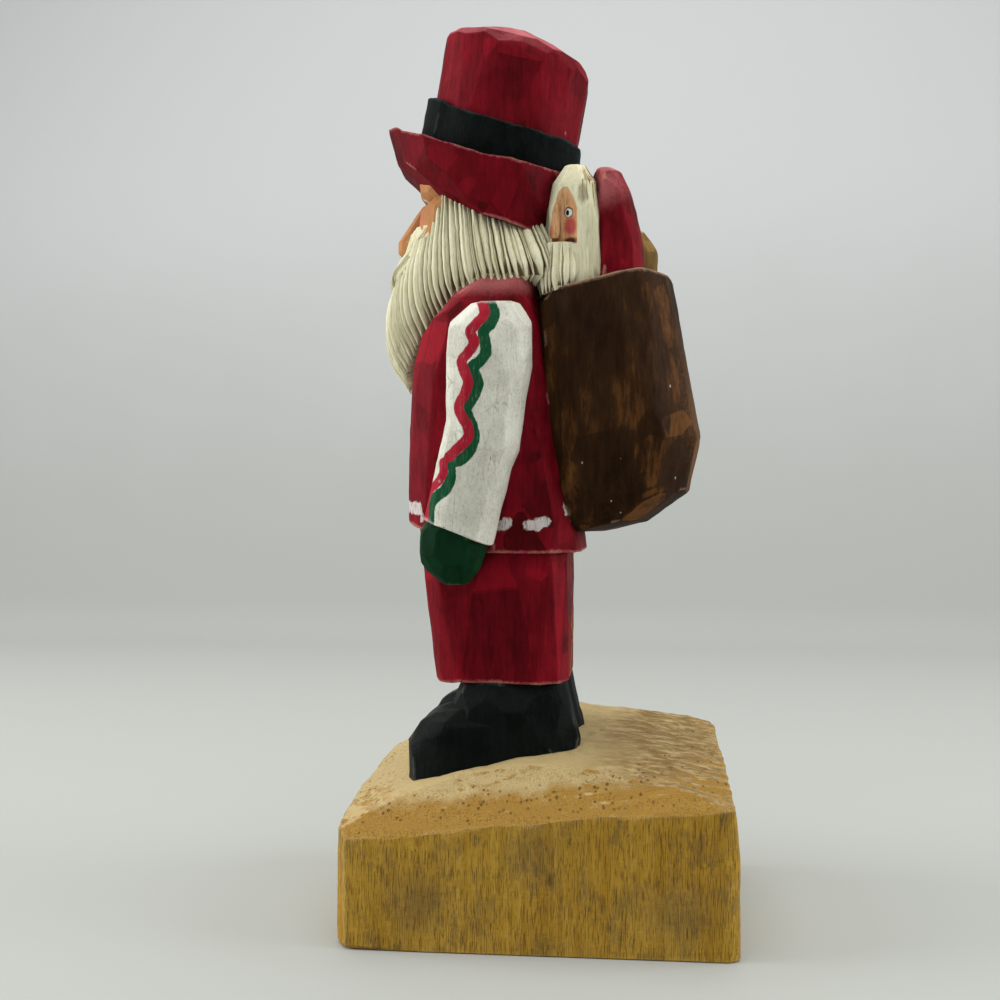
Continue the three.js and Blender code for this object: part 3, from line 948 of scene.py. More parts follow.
@dataclass
class Toys:
    """What looks out of the sack: a bearded doll in a hooded cloak and two plain toys."""

    head: Whittled = Whittled(
        (Level(118, 0.6, 17.4, 10, 14.5), Level(143, 1.2, 16.5, 9.8, 14.5),
         Level(150.6, 2.6, 15.3, 8.6, 14.5), Level(155.8, 6.2, 11.8, 5, 14.5)),
        squareness=3, cuts=12, seed=71,
    )
    face: Whittled = Whittled(
        (Level(133.6, 1.2, 10.4, 3.6, 26), Level(143, 1.6, 10.4, 3.6, 26), Level(150, 4.4, 8.6, 2.6, 26)),
        squareness=2.2, cuts=12, seed=72,
    )
    nose: Whittled = Whittled(
        (Level(135, 2.6, 5, 1.2, 22.3), Level(137, 2.3, 5.4, 1.7, 22.4), Level(145, 3.6, 5.2, 1, 21.9)),
        squareness=2.4, cuts=7, seed=77, nicks=2, chip=0.2,
    )
    fringe: tuple[float, ...] = (18, 27, 37, 47, 102, 112, 121, 131, 140, 150, 160, 171, 182, 194)
    fringe_deep: float = 1.1
    fringe_wide: float = 1.4
    beard: Locks = Locks(
        (Strand((17, 0.8, 134), (17.5, 0.2, 119.5), 0.6), Strand((22.6, 1.2, 134), (23.8, 0.8, 120), 0.8),
         Strand((24.6, 4, 134), (25.6, 4, 120.6), 0.8), Strand((24.4, 8.4, 134), (25.4, 8.6, 121.6), 0.6),
         Strand((21.5, 10.4, 134), (22, 10.6, 122.2), 0.3), Strand((15, 9, 134), (15, 9, 122)),
         Strand((13, 4, 134), (13, 4, 121))),
        heart=((18, 5, 134), (18, 5, 121)), closed=True, pitch=1.9, depth=0.8, rows=14, seed=73,
    )
    hood: Whittled = Whittled(
        (Level(118, 11, 28.4, 15.4, 8), Level(137, 12.6, 27.2, 14.8, 8), Level(149.4, 13.2, 24, 13.4, 8.4),
         Level(154, 13.8, 21.8, 11, 9), Level(155.8, 14.6, 19, 7.5, 9)),
        squareness=3, cuts=11, seed=74,
    )
    ochre: Whittled = Whittled(
        (Level(118, 17, 31.4, 8.6, -11), Level(136, 18, 31.8, 8.4, -11), Level(143, 20, 27.4, 6, -11)),
        cuts=9, seed=75,
    )
    parcel: Whittled = Whittled(
        (Level(114, 2.6, 16, 8.6, -14), Level(137, 3, 15, 8, -15)), squareness=7, cuts=8, seed=76, nicks=4,
    )

    def carve(self) -> list[Wood]:
        """All the toys.

        Returns:
            The toys.
        """
        head = self.head.finish(Paint.CREAM)
        self.head.strands(head, map(math.radians, self.fringe), self.fringe_deep, self.fringe_wide)
        head.work(Cut.TAKE, self.face.carve(Paint.DOLL_FACE).coat())
        nose = self.nose.finish(Paint.DOLL_FACE)
        doll = [head, nose, self.beard.carve(Paint.CREAM), self.hood.finish(Paint.CLOAK)]
        return doll + [self.ochre.finish(Paint.OCHRE), self.parcel.finish(Paint.PARCEL)]


@dataclass
class Head:
    """Face, nose, hair, beard and moustache."""

    brow: Whittled = Whittled(
        (Level(147.4, -31, -8, 19.4), Level(150.6, -35.2, -8, 20.6), Level(158, -35.6, -8, 20)),
        squareness=2.8, cuts=12, seed=93, nicks=4,
    )
    cheeks: Whittled = Whittled(
        (Level(132, -34.4, -8, 20.4), Level(140, -35.6, -8, 20.8), Level(146, -34.8, -8, 20.6),
         Level(149.4, -31.6, -8, 19.6)),
        squareness=2.8, cuts=12, seed=91, nicks=4,
    )
    nose: Whittled = Whittled(
        (Level(134, -40.6, -28, 6.4), Level(136, -42.6, -28, 7), Level(139.4, -42.4, -28, 6.6),
         Level(149.6, -35.4, -28, 3.4)),
        squareness=2.4, cuts=9, seed=92, nicks=4, chip=0.3,
    )
    hair: Locks = Locks(
        (Strand((0, -33.5, 155), (0, -40, 95.5), 7.9), Strand((6, -33, 155), (7, -39.5, 97), 7.6),
         Strand((11, -32, 155), (12.5, -37.5, 102), 6.2),
         Strand((15.6, -30.5, 155), (17.5, -33.5, 109.5), 4.4),
         Strand((18.6, -27, 155), (22.4, -27.5, 116), 2.8),
         Strand((19.8, -21.5, 155), (25.6, -20.5, 120.3), 2),
         Strand((20, -15, 152), (27, -12.4, 123), 1.6), Strand((18.5, -8.5, 149), (27.2, -4, 124.8), 1.4),
         Strand((17, -2.5, 147), (25, 4, 125.4), 1), Strand((13, 4, 147), (15, 8.5, 126), 1),
         Strand((0, 6, 148), (0, 10, 126.5), 1)),
        heart=((0, -12, 156), (0, -12, 112)), pitch=1.85, depth=1.0, rows=44, lean=-0.018, curl=0.8,
        seed=81,
    )
    moustache: Locks = Locks(
        (Strand((0, -38, 139), (0, -42.8, 120.4), 1.2), Strand((7, -38, 140), (2, -43, 120.2), 2),
         Strand((13, -35, 141), (4.4, -42.6, 121), 3.2), Strand((18, -31, 140.5), (7, -41.6, 122.4), 4),
         Strand((20.6, -26.5, 138.5), (10, -39.6, 124.4), 3.6), Strand((18, -22, 137), (9, -33, 126)),
         Strand((8, -20, 138), (5, -28, 126)), Strand((0, -20, 138), (0, -28, 126))),
        heart=((0, -28, 139), (0, -34, 124)), pitch=1.8, depth=0.8, rows=24, curl=0.4, seed=82,
    )
    gap_low: Vector = field(default_factory=lambda: Vector((-20, -60, 137)))
    gap_high: Vector = field(default_factory=lambda: Vector((20, -27.5, 160)))

    def carve(self) -> list[Wood]:
        """The whole head but the hat.

        Returns:
            The parts of the head.
        """
        hair = self.hair.carve(Paint.CREAM)
        hair.work(Cut.TAKE, Wood.block(self.gap_low, self.gap_high, Paint.CREAM).coat())
        face = [form.finish(Paint.FLESH) for form in (self.brow, self.cheeks, self.nose)]
        return [*face, hair, self.moustache.carve(Paint.CREAM)]


@dataclass
class Hat:
    """The top hat, made upright about the middle of its band and then tilted back."""

    tilt: float = 18.0
    seat: tuple[float, float, float] = (0.0, -11.1, 172.8)
    crown: Whittled = Whittled(
        (Level(-16, -18.6, 22.4, 20), Level(0, -21, 21, 20.2), Level(16.8, -24, 18.8, 19.6),
         Level(20, -22, 16.4, 17.4), Level(22.8, -14, 9.6, 11), Level(25.4, -9, 1, 5)),
        squareness=2.3, cuts=13, seed=101, nicks=10,
    )
    brim: Whittled = Whittled(
        (Level(-31, -2, 26, 25.6), Level(-28, -13, 28, 27), Level(-22.4, -24.6, 28, 27.2),
         Level(-13, -31, 29.4, 27.6), Level(-4, -33, 30.6, 27.6)),
        squareness=2.4, cuts=14, seed=103, nicks=10,
    )
    dish: Whittled = Whittled(
        (Level(-19, -22, 22, 20), Level(-15, -27, 26, 24), Level(0, -31.6, 29, 26)),
        squareness=2.2, cuts=14, seed=104,
    )
    gouge: float = 120.0
    gouge_long: float = 90.0
    gouge_at: tuple[float, float] = (-6.0, 104.4)
    stroke_wide: float = 3.4
    stroke_long: float = 22.0
    hoop: Level = Level(0, -22.6, 22.8, 22)
    band_foot: float = -16.0
    band_head: float = -1.9
    wrap: float = 0.84
    wrap_rise: float = 0.8
    wrap_thick: float = 0.7

    def ribbon(self) -> Wood:
        """The band: a warped hoop whose cut edge wanders.

        Returns:
            The band.
        """
        wood = Wood.tube(Paint.BAND, 96, 6).hub()
        for vert in wood.bm.verts:
            angle = math.atan2(vert.co.x, -vert.co.y)
            radius = min(1.0, vert.co.xy.length)
            around = Vector((math.cos(angle), math.sin(angle), 0))
            lap = ease(abs(angle), self.wrap + 0.05, self.wrap - 0.05)
            high = self.band_head - 2.8 * vert.co.x**2 + self.wrap_rise * lap
            high += 0.7 * noise.noise(around * 2.2) + 0.45 * noise.noise(around * 7)
            share = vert.co.z + 0.5
            at = self.band_foot + (high - self.band_foot) * share
            swell = 0.25 * math.sin(math.pi * share) + self.wrap_thick * lap
            swell += 0.45 * noise.noise(around * 3 + Vector((0, 0, 1.5 * share)))
            edge = self.hoop.edge(angle, 2.2) * radius * (1 + swell / self.hoop.half)
            vert.co = Vector((edge.x, edge.y - 0.12 * at, at))
        bmesh.ops.recalc_face_normals(wood.bm, faces=wood.bm.faces[:])
        for vert in wood.bm.verts:
            vert[wood.ridge] = 0.2
        return wood.coat()

    def curl(self) -> Wood:
        """The brim: a bowl gouged hollow above and dished round the crown.

        Returns:
            The brim.
        """
        wood = self.brim.finish(Paint.BRIM)
        gouge = Wood.tube(Paint.BRIM, 360, 45, self.gouge, self.gouge_long)
        gouge.turn(Matrix.Translation((0, *self.gouge_at)) @ Matrix.Rotation(TURN / 4, 4, "Y"))
        for vert in gouge.bm.verts:
            if vert.co.z < 10:
                across = math.floor(vert.co.y / self.stroke_wide)
                along = math.floor((vert.co.x + self.gouge_long / 2) / self.stroke_long)
                vert.co.z += wander(107, across + 37 * along, 0.22) + 0.5 * noise.noise(vert.co / 7)
        wood.work(Cut.TAKE, gouge.coat())
        return wood.work(Cut.TAKE, self.dish.carve(Paint.BRIM).soften(0.3).coat())

    def carve(self) -> list[Wood]:
        """Crown, band and brim in their tilted place."""
        place = Matrix.Translation(self.seat) @ Matrix.Rotation(-math.radians(self.tilt), 4, "X")
        return [part.turn(place) for part in (self.crown.finish(Paint.CROWN), self.ribbon(), self.curl())]


@dataclass(frozen=True)
class Stroke:
    """One pull of the brush on a flat view of the figure: points of its path and its width."""

    points: tuple[tuple[float, float], ...]
    width: float

    @cached_property
    def path(self) -> KDTree:
        """The smooth path as close points.

        Returns:
            The tree that finds the nearest of them.
        """
        knots = [Vector((*point, 0)) for point in self.points]
        knots = [2 * knots[0] - knots[1], *knots, 2 * knots[-1] - knots[-2]]
        spans = [knots[k : k + 4] for k in range(len(knots) - 3)]
        return finder([bend(*span, part / 12) for span in spans for part in range(13)])

    def away(self, across: float, up: float) -> float:
        """How far a spot lies from the middle of the stroke, in half widths of the stroke."""
        return self.path.find((across, up, 0))[2] / (self.width / 2)


@dataclass
class Trim:
    """The wavy lines down the sleeves and the dabs round the hem.

    The lines and the side dabs are points (y, z), the front and back dabs (x, z).
    """

    red: tuple[Stroke, ...] = (
        Stroke(((-14.5, 167), (-13.5, 163.5), (-15.5, 160.8), (-17.1, 158.5), (-16, 156), (-17.5, 153.3),
                (-19.3, 151), (-18.6, 148.4), (-17.5, 145.5), (-18.4, 142.5), (-20, 139.3), (-19.2, 136.6),
                (-17.6, 134), (-17.4, 131.4), (-18.8, 129.6), (-21, 127.8), (-22.6, 126.2)), 2.8),
        Stroke(((-24.4, 124.8), (-24.2, 122), (-26, 119.4), (-28.4, 117.4), (-29.6, 114.4),
                (-29.5, 110)), 2.4),
    )
    green: tuple[Stroke, ...] = (
        Stroke(((-12.6, 167), (-11, 163.2), (-11.7, 160.8), (-13.7, 158.4), (-13.1, 155.6), (-13, 153),
                (-14.3, 151), (-16.4, 149.4), (-15.5, 147), (-15, 144.8), (-16.2, 141.6), (-18, 138.4),
                (-17.3, 136), (-16.1, 133), (-16, 130.8), (-17.3, 127.4), (-19.8, 125.2), (-22, 124.8),
                (-22.2, 122.8), (-22.2, 120.6), (-23.6, 117.6), (-26.4, 115.6), (-27.8, 113.4),
                (-28, 109)), 3.0),
    )
    side_dabs: tuple[Stroke, ...] = (
        Stroke(((-10.4, 108.2), (-8.6, 108.9)), 3), Stroke(((-3.0, 108.4), (-0.6, 108)), 2.6),
        Stroke(((-0.4, 108.8), (1.6, 109.2)), 2.8), Stroke(((6.8, 109.2), (8.6, 109.6)), 2.6),
        Stroke(((-35.2, 112.8), (-32.6, 110.4)), 3), Stroke(((-28, 110), (-22, 109)), 2.8),
    )
    front_dabs: tuple[Stroke, ...] = (
        Stroke(((-24, 112.6), (-18.6, 113)), 3.4), Stroke(((-15, 113.2), (-7.8, 112.6)), 3.4),
        Stroke(((-5.4, 112.8), (-1.6, 113.2)), 3.4), Stroke(((2.2, 113.2), (8.4, 112.8)), 3.4),
        Stroke(((11.4, 112.6), (16.6, 113.2)), 3.4), Stroke(((19.4, 112.8), (24.6, 112.6)), 3.4),
    )
    hem_high: float = 112.0
    hem_reach: float = 7.0
    outside: float = 26.0

    def lines(self, spot: Vector) -> tuple[float, float]:
        """How far a spot on a sleeve lies from the red and the green lines.

        Args:
            spot: The spot.

        Returns:
            Both distances, in half widths.
        """
        if abs(spot.x) <= self.outside:
            return FAR, FAR
        return tuple(min(line.away(spot.y, spot.z) for line in lines) for lines in (self.red, self.green))

    def on_hem(self, spot: Vector) -> bool:
        """Whether a spot is as high as the hem's dabs."""
        return abs(spot.z - self.hem_high) < self.hem_reach

    def dab(self, spot: Vector, normal: Vector) -> float:
        """How far a spot lies from the nearest dab on the hem.

        Args:
            spot: The spot.
            normal: The way its surface faces.

        Returns:
            The distance in half widths.
        """
        if not self.on_hem(spot):
            return FAR
        if abs(normal.x) > 0.7:
            return min(stroke.away(spot.y, spot.z) for stroke in self.side_dabs)
        return min(stroke.away(spot.x, spot.z) for stroke in self.front_dabs)


@dataclass
class Skin:
    """The whole figure as one closed surface, refined, weathered, marked and laid into the scene."""

    coarse: float = 3.4
    fine: float = 0.9
    hair: float = 9.0
    sleeve: float = 2.2
    hem: float = 1.3
    underside: float = 14.0
    top: float = 1.8
    touch: float = 0.02
    seed: int = 7
    slacks: tuple[float, ...] = (8.0, 4.0, 2.0, 1.4, 1.0)
    oldest: int = 12
    flat: float = 0.06
    cavity_reach: float = 9.0
    rays: int = 20
    rim_angle: float = 0.45
    rim_reach: float = 4.0
    crisp: float = 0.24
    trim: Trim = field(default_factory=Trim)

    def limit(self, spot: Vector, paint: int) -> float:
        """The longest edge that is left at a spot.

        Args:
            spot: The spot.
            paint: The paint there.

        Returns:
            The length.
        """
        if paint == Paint.CREAM:
            return self.hair
        if paint == Paint.SLEEVE:
            return self.fine if min(self.trim.lines(spot)) < 1.7 else self.sleeve
        if paint == Paint.COAT and self.trim.on_hem(spot):
            return self.hem
        if paint == Paint.BARE and spot.z < self.touch:
            return self.underside
        inside = abs(spot.x) < Foot.width / 2 - 0.2 and abs(spot.y) < Foot.depth / 2 - 0.2
        if paint == Paint.BARE and spot.z > 0.7 * CREST and inside:
            return self.top
        return self.coarse

    def even(self, bm: bmesh.types.BMesh) -> None:
        """Turns the edges that lie in a flat so that its triangles are well shaped.

        Args:
            bm: The figure.
        """
        inner = []
        for edge in bm.edges:
            paints = {face.material_index for face in edge.link_faces}
            if len(paints) == 1 and edge.is_manifold and Paint.CREAM not in paints:
                if edge.calc_face_angle(1.0) < self.flat:
                    inner.append(edge)
        faces = list({face for edge in inner for face in edge.link_faces})
        bmesh.ops.beautify_fill(bm, faces=faces, edges=inner, use_restrict_tag=False, method="AREA")

    def refine(self, wood: Wood) -> None:
        """Halves the longest edges first so that the weathering and the marks can follow the form.

        Args:
            wood: The figure.
        """
        bm = wood.bm
        bmesh.ops.triangulate(bm, faces=bm.faces[:])
        self.even(bm)
        for slack in self.slacks:
            self.halve(bm, slack)
            self.even(bm)

    def halve(self, bm: bmesh.types.BMesh, slack: float) -> None:
        """Halves edges, the longest first, until none is over the limit.

        Args:
            bm: The figure, in triangles.
            slack: How many times the limit is allowed.
        """
        queue: list[tuple[float, int, int, bmesh.types.BMEdge]] = []
        turns = itertools.count()

        def line_up(edges: Iterable[bmesh.types.BMEdge], age: int) -> None:
            """Queues the edges that are too long.

            Args:
                edges: The edges.
                age: How many halvings made them.
            """
            for edge in edges:
                length = edge.calc_length()
                if length > self.fine * slack and edge.is_manifold and age < self.oldest:
                    middle = (edge.verts[0].co + edge.verts[1].co) / 2
                    if length > self.limit(middle, edge.link_faces[0].material_index) * slack:
                        heapq.heappush(queue, (-length, next(turns), age, edge))

        line_up(bm.edges, 0)
        while queue:
            _, _, age, edge = heapq.heappop(queue)
            far = [(face, next(v for v in face.verts if v not in edge.verts)) for face in edge.link_faces]
            middle = bmesh.utils.edge_split(edge, edge.verts[0], 0.5)[1]
            for face, corner in far:
                bmesh.utils.face_split(face, middle, corner)
            line_up(middle.link_edges, age + 1)

    def weather(self, bm: bmesh.types.BMesh) -> None:
        """Lets flats and edges waver, and tears the fibres on top of the block.

        Args:
            bm: The figure, which keeps its underside flat and its box.
        """
        noise.seed_set(self.seed)
        bm.normal_update()
        bare = {vert for face in bm.faces if face.material_index == Paint.BARE for vert in face.verts}
        low, high = box(vert.co for vert in bm.verts)
        for vert in bm.verts:
            spot = vert.co.copy()
            if spot.z < self.touch:
                continue
            sway = 0.26 * noise.noise_vector(spot / 9)
            sway += 0.14 * noise.noise_vector(spot / 3 + Vector((7, 3, 1)))
            if vert in bare:
                sway += 0.45 * noise.noise_vector(spot / 12 + Vector((3, 9, 4)))
            torn = 0.0
            if vert in bare and spot.z > 0.6 * CREST and vert.normal.z > 0.35:
                furrow = ease(spot.y, 6, 16) * ease(vert.normal.z, 0.6, 0.9)
                torn = (0.3 + 0.5 * furrow) * noise.noise(Vector((spot.x / 2.6, spot.y / 11, 2)))
                torn += 0.25 * noise.noise(spot / 2.2)
            vert.co += sway * min(1.0, spot.z / 4) + vert.normal * torn
            for axis in range(3):
                vert.co[axis] = min(high[axis], max(low[axis], vert.co[axis]))

    def cavities(self, bm: bmesh.types.BMesh) -> None:
        """Marks how closed in each point is.

        Args:
            bm: The figure.
        """
        mark = bm.verts.layers.float.new("cavity")
        bm.normal_update()
        tree = BVHTree.FromBMesh(bm)
        rays = self.rays
        golden = math.pi * (3 - math.sqrt(5))
        fan = []
        for k in range(rays):
            up = math.sqrt(1 - (k + 0.5) / rays)
            out = math.sqrt(1 - up * up)
            fan.append(Vector((out * math.cos(golden * k), out * math.sin(golden * k), up)))
        for vert in bm.verts:
            turn = vert.normal.to_track_quat("Z", "Y")
            start = vert.co + vert.normal * 0.08
            shut = 0.0
            for ray in fan:
                found = tree.ray_cast(start, turn @ ray, self.cavity_reach)
                if found[3] is not None:
                    shut += 1 - found[3] / self.cavity_reach
            vert[mark] = shut / rays

    def rims(self, bm: bmesh.types.BMesh) -> None:
        """Marks how far, in millimetres, each point lies from an edge that handling rubs.

        Args:
            bm: The figure.
        """
        mark = bm.verts.layers.float.new("rim")
        spots = []
        for edge in bm.edges:
            paints = {face.material_index for face in edge.link_faces}
            if len(edge.link_faces) == 2 and not paints & {Paint.CREAM, Paint.DOLL_FACE}:
                if edge.calc_face_angle_signed(0.0) > self.rim_angle:
                    start, end = (vert.co for vert in edge.verts)
                    steps = 1 + int(edge.calc_length() / 0.6)
                    spots += [start.lerp(end, step / steps) for step in range(steps + 1)]
        tree = finder(spots)
        for vert in bm.verts:
            vert[mark] = min(self.rim_reach, tree.find(vert.co)[2])

    def marks(self, bm: bmesh.types.BMesh) -> None:
        """Marks the painted lines and dabs.

        Args:
            bm: The figure.
        """
        red, green, dab = (bm.verts.layers.float.new(name) for name in ("red_trim", "green_trim", "dab"))
        for vert in bm.verts:
            vert[red], vert[green] = self.trim.lines(vert.co)
            vert[dab] = self.trim.dab(vert.co, vert.normal)

    def lay(self, wood: Wood) -> bpy.types.Object:
        """Makes the finished object in metres.

        Args:
            wood: The figure in millimetres.

        Returns:
            The object.
        """
        self.refine(wood)
        bm = wood.bm
        self.weather(bm)
        bm.normal_update()
        self.marks(bm)
        self.rims(bm)
        self.cavities(bm)
        for face in bm.faces:
            face.smooth = True
        for edge in bm.edges:
            soft = any(face.material_index == Paint.CREAM for face in edge.link_faces)
            edge.smooth = edge.calc_face_angle(0.0) < (4 * self.crisp if soft else self.crisp)
        bmesh.ops.scale(bm, vec=(MM, MM, MM), verts=bm.verts[:])
        return stand("carved_figure", bm, map(shop, Paint))


class Tone:
    """A number that varies over a surface. Arithmetic on it adds Math nodes."""

    def __init__(self, bench: "Bench", socket: bpy.types.NodeSocket) -> None:
        """Wraps the socket that gives the number."""
        self.bench = bench
        self.socket = socket

    def math(self, operation: str, *inputs: "Tone | float") -> "Tone":
        """Adds a Math node that works on numbers."""
        node = self.bench.node("ShaderNodeMath", {"operation": operation}, dict(enumerate(inputs)))
        return Tone(self.bench, node.outputs[0])

    def __add__(self, other: "Tone | float") -> "Tone":
        """Sum."""
        return self.math("ADD", self, other)

    __radd__ = __add__

    def __sub__(self, other: "Tone | float") -> "Tone":
        """Difference."""
        return self.math("SUBTRACT", self, other)

    def __rsub__(self, other: float) -> "Tone":
        """Difference from a number."""
        return self.math("SUBTRACT", other, self)

    def __mul__(self, other: "Tone | float") -> "Tone":
        """Product."""
        return self.math("MULTIPLY", self, other)

    __rmul__ = __mul__

    def __truediv__(self, other: "Tone | float") -> "Tone":
        """Quotient."""
        return self.math("DIVIDE", self, other)

    def __pow__(self, other: float) -> "Tone":
        """Power."""
        return self.math("POWER", self, other)

    def __abs__(self) -> "Tone":
        """Without its sign."""
        return self.math("ABSOLUTE", self)

    def over(self, other: "Tone | float") -> "Tone":
        """The larger of two."""
        return self.math("MAXIMUM", self, other)

    def ease(self, low: float, high: float) -> "Tone":
        """0 at low, 1 at high and smooth between them; low may be the larger.

        Args:
            low: Where it is 0.
            high: Where it is 1.

        Returns:
            The eased number.
        """
        node = self.bench.node(
            "ShaderNodeMapRange", {"interpolation_type": "SMOOTHSTEP"},
            {"Value": self, "From Min": low, "From Max": high, "To Min": 0.0, "To Max": 1.0},
        )
        return Tone(self.bench, node.outputs["Result"])


Pigment = bpy.types.NodeSocket | Colour
Size = float | tuple[float, float, float]


class Bench:
    """The nodes of one material."""

    def __init__(self, material: bpy.types.Material) -> None:
        """Clears the material and lays out its shader and its place on the wood.

        Args:
            material: The material.
        """
        material.use_nodes = True
        self.tree = material.node_tree
        self.tree.nodes.clear()
        self.output = self.node("ShaderNodeOutputMaterial")
        self.shader = self.node("ShaderNodeBsdfPrincipled")
        self.tree.links.new(self.shader.outputs[0], self.output.inputs["Surface"])
        self.place = self.node("ShaderNodeTexCoord").outputs["Object"]

    def node(
        self, kind: str, settings: dict[str, Any] | None = None, inputs: dict[str | int, Any] | None = None
    ) -> bpy.types.Node:
        """Adds a node.

        Args:
            kind: Its type.
            settings: Its settings, which are set first.
            inputs: What its sockets hold: numbers, colours, sockets or tones.

        Returns:
            The node.
        """
        made = self.tree.nodes.new(kind)
        for name, value in (settings or {}).items():
            setattr(made, name, value)
        for name, value in (inputs or {}).items():
            value = value.socket if isinstance(value, Tone) else value
            if isinstance(value, bpy.types.NodeSocket):
                self.tree.links.new(value, made.inputs[name])
            elif isinstance(value, tuple) and made.inputs[name].type == "RGBA":
                made.inputs[name].default_value = (*value, 1.0)
            else:
                made.inputs[name].default_value = value
        return made

    def spot(self, size: Size, shift: float = 0.0) -> bpy.types.NodeSocket:
        """The place on the wood, counted in cells whose size is given in millimetres.

        Args:
            size: The cell's size.
            shift: How far it is moved.

        Returns:
            The place.
        """
        scale = tuple(1 / (MM * length) for length in (size if isinstance(size, tuple) else (size,) * 3))
        node = self.node(
            "ShaderNodeMapping", {"vector_type": "POINT"},
            {"Vector": self.place, "Scale": scale, "Location": (shift, 0.7 * shift, 1.3 * shift)},
        )
        return node.outputs[0]

    def noise(self, size: Size, detail: float = 3.0, rough: float = 0.55, shift: float = 0.0) -> Tone:
        """Cloudy noise about a half.

        Args:
            size: The size of its cells.
            detail: How many finer layers it has.
            rough: How strong they are.
            shift: Which stretch of the noise.

        Returns:
            The noise.
        """
        node = self.node("ShaderNodeTexNoise", None, {
            "Vector": self.spot(size, shift), "Scale": 1.0, "Detail": detail, "Roughness": rough,
        })
        return Tone(self, node.outputs[0])

    def cells(self, feature: str, size: Size, shift: float = 0.0) -> Tone:
        """How far a place is from the heart or the border of its random cell, in cells.

        Args:
            feature: F1 for the heart or DISTANCE_TO_EDGE for the border.
            size: The cell's size.
            shift: Which stretch of the pattern.

        Returns:
            The distance.
        """
        place = {"Vector": self.spot(size, shift), "Scale": 1.0}
        node = self.node("ShaderNodeTexVoronoi", {"feature": feature}, place)
        return Tone(self, node.outputs["Distance"])

    def mark(self, name: str) -> Tone:
        """A mark that the carving left on the skin."""
        return Tone(self, self.node("ShaderNodeAttribute", {"attribute_name": name}).outputs["Fac"])

    def axes(self) -> tuple[Tone, Tone, Tone]:
        """The place on the wood in millimetres, as three numbers."""
        node = self.node("ShaderNodeSeparateXYZ", None, {0: self.spot(1)})
        return tuple(Tone(self, socket) for socket in node.outputs)

    def flat(self) -> Tone:
        """The shade of the knife's flat, from -0.5 to 0.5."""
        return self.mark("tone") / (1.0 - self.mark("ridge")).over(0.03)

    def facing(self) -> Tone:
        """How far a surface looks up, from -1 to 1."""
        normal = self.node("ShaderNodeNewGeometry").outputs["True Normal"]
        return Tone(self, self.node("ShaderNodeSeparateXYZ", None, {0: normal}).outputs[2])

    def mix(self, share: Tone | float, under: Pigment, over: Pigment) -> bpy.types.NodeSocket:
        """One pigment laid over another.

        Args:
            share: How much of the upper one covers.
            under: The lower pigment.
            over: The upper one.

        Returns:
            What shows.
        """
        settings = {"data_type": "RGBA", "clamp_factor": True}
        return self.node("ShaderNodeMix", settings, {0: share, 6: under, 7: over}).outputs[2]

    def raise_by(
        self, height: Tone, deep: float, under: bpy.types.NodeSocket | None = None, strength: float = 1.0
    ) -> bpy.types.NodeSocket:
        """Relief too fine for the mesh.

        Args:
            height: Its height, from 0 to 1.
            deep: The millimetres that 1 stands for.
            under: The relief below it.
            strength: How much of it shows.

        Returns:
            The normal.
        """
        inputs = {"Height": height, "Distance": deep * MM, "Strength": strength}
        if under is not None:
            inputs["Normal"] = under
        return self.node("ShaderNodeBump", None, inputs).outputs[0]

    def finish(
        self, pigment: Pigment, rough: Tone | float, normal: bpy.types.NodeSocket | None, gloss: float
    ) -> None:
        """Feeds the shader.

        Args:
            pigment: Its colour.
            rough: How rough it is.
            normal: Its fine relief, if any.
            gloss: The strength of its shine.
        """
        sockets = self.shader.inputs
        sockets["Specular IOR Level"].default_value = gloss
        for name, value in (("Base Color", pigment), ("Roughness", rough), ("Normal", normal)):
            value = value.socket if isinstance(value, Tone) else value
            if isinstance(value, bpy.types.NodeSocket):
                self.tree.links.new(value, sockets[name])
            elif value is not None:
                sockets[name].default_value = (*value, 1.0) if isinstance(value, tuple) else value


@dataclass(frozen=True)
class Dab:
    """A painted spot: its middle and its half sizes in millimetres, and its colour."""

    middle: tuple[float, float, float]
    half: tuple[float, float, float]
    colour: Colour
    soft: float = 0.12
    both: bool = True
    cover: float = 1.0


def dot(bench: Bench, colour: Pigment, dabs: Iterable[Dab]) -> Pigment:
    """Puts painted spots on a surface.

    Args:
        bench: The material's nodes.
        colour: What is under the spots.
        dabs: The spots.

    Returns:
        What shows.
    """
    x, y, z = bench.axes()
    wobble = (bench.noise(0.9, 2.0, shift=18.0) - 0.5) * 0.5
    for dab in dabs:
        spot = zip((abs(x) if dab.both else x, y, z), dab.middle, dab.half)
        across, along, up = (((axis - middle) / half) ** 2.0 for axis, middle, half in spot)
        away = (across + along + up) ** 0.5
        colour = bench.mix((away + wobble).ease(1 + dab.soft, 1 - dab.soft) * dab.cover, colour, dab.colour)
    return colour


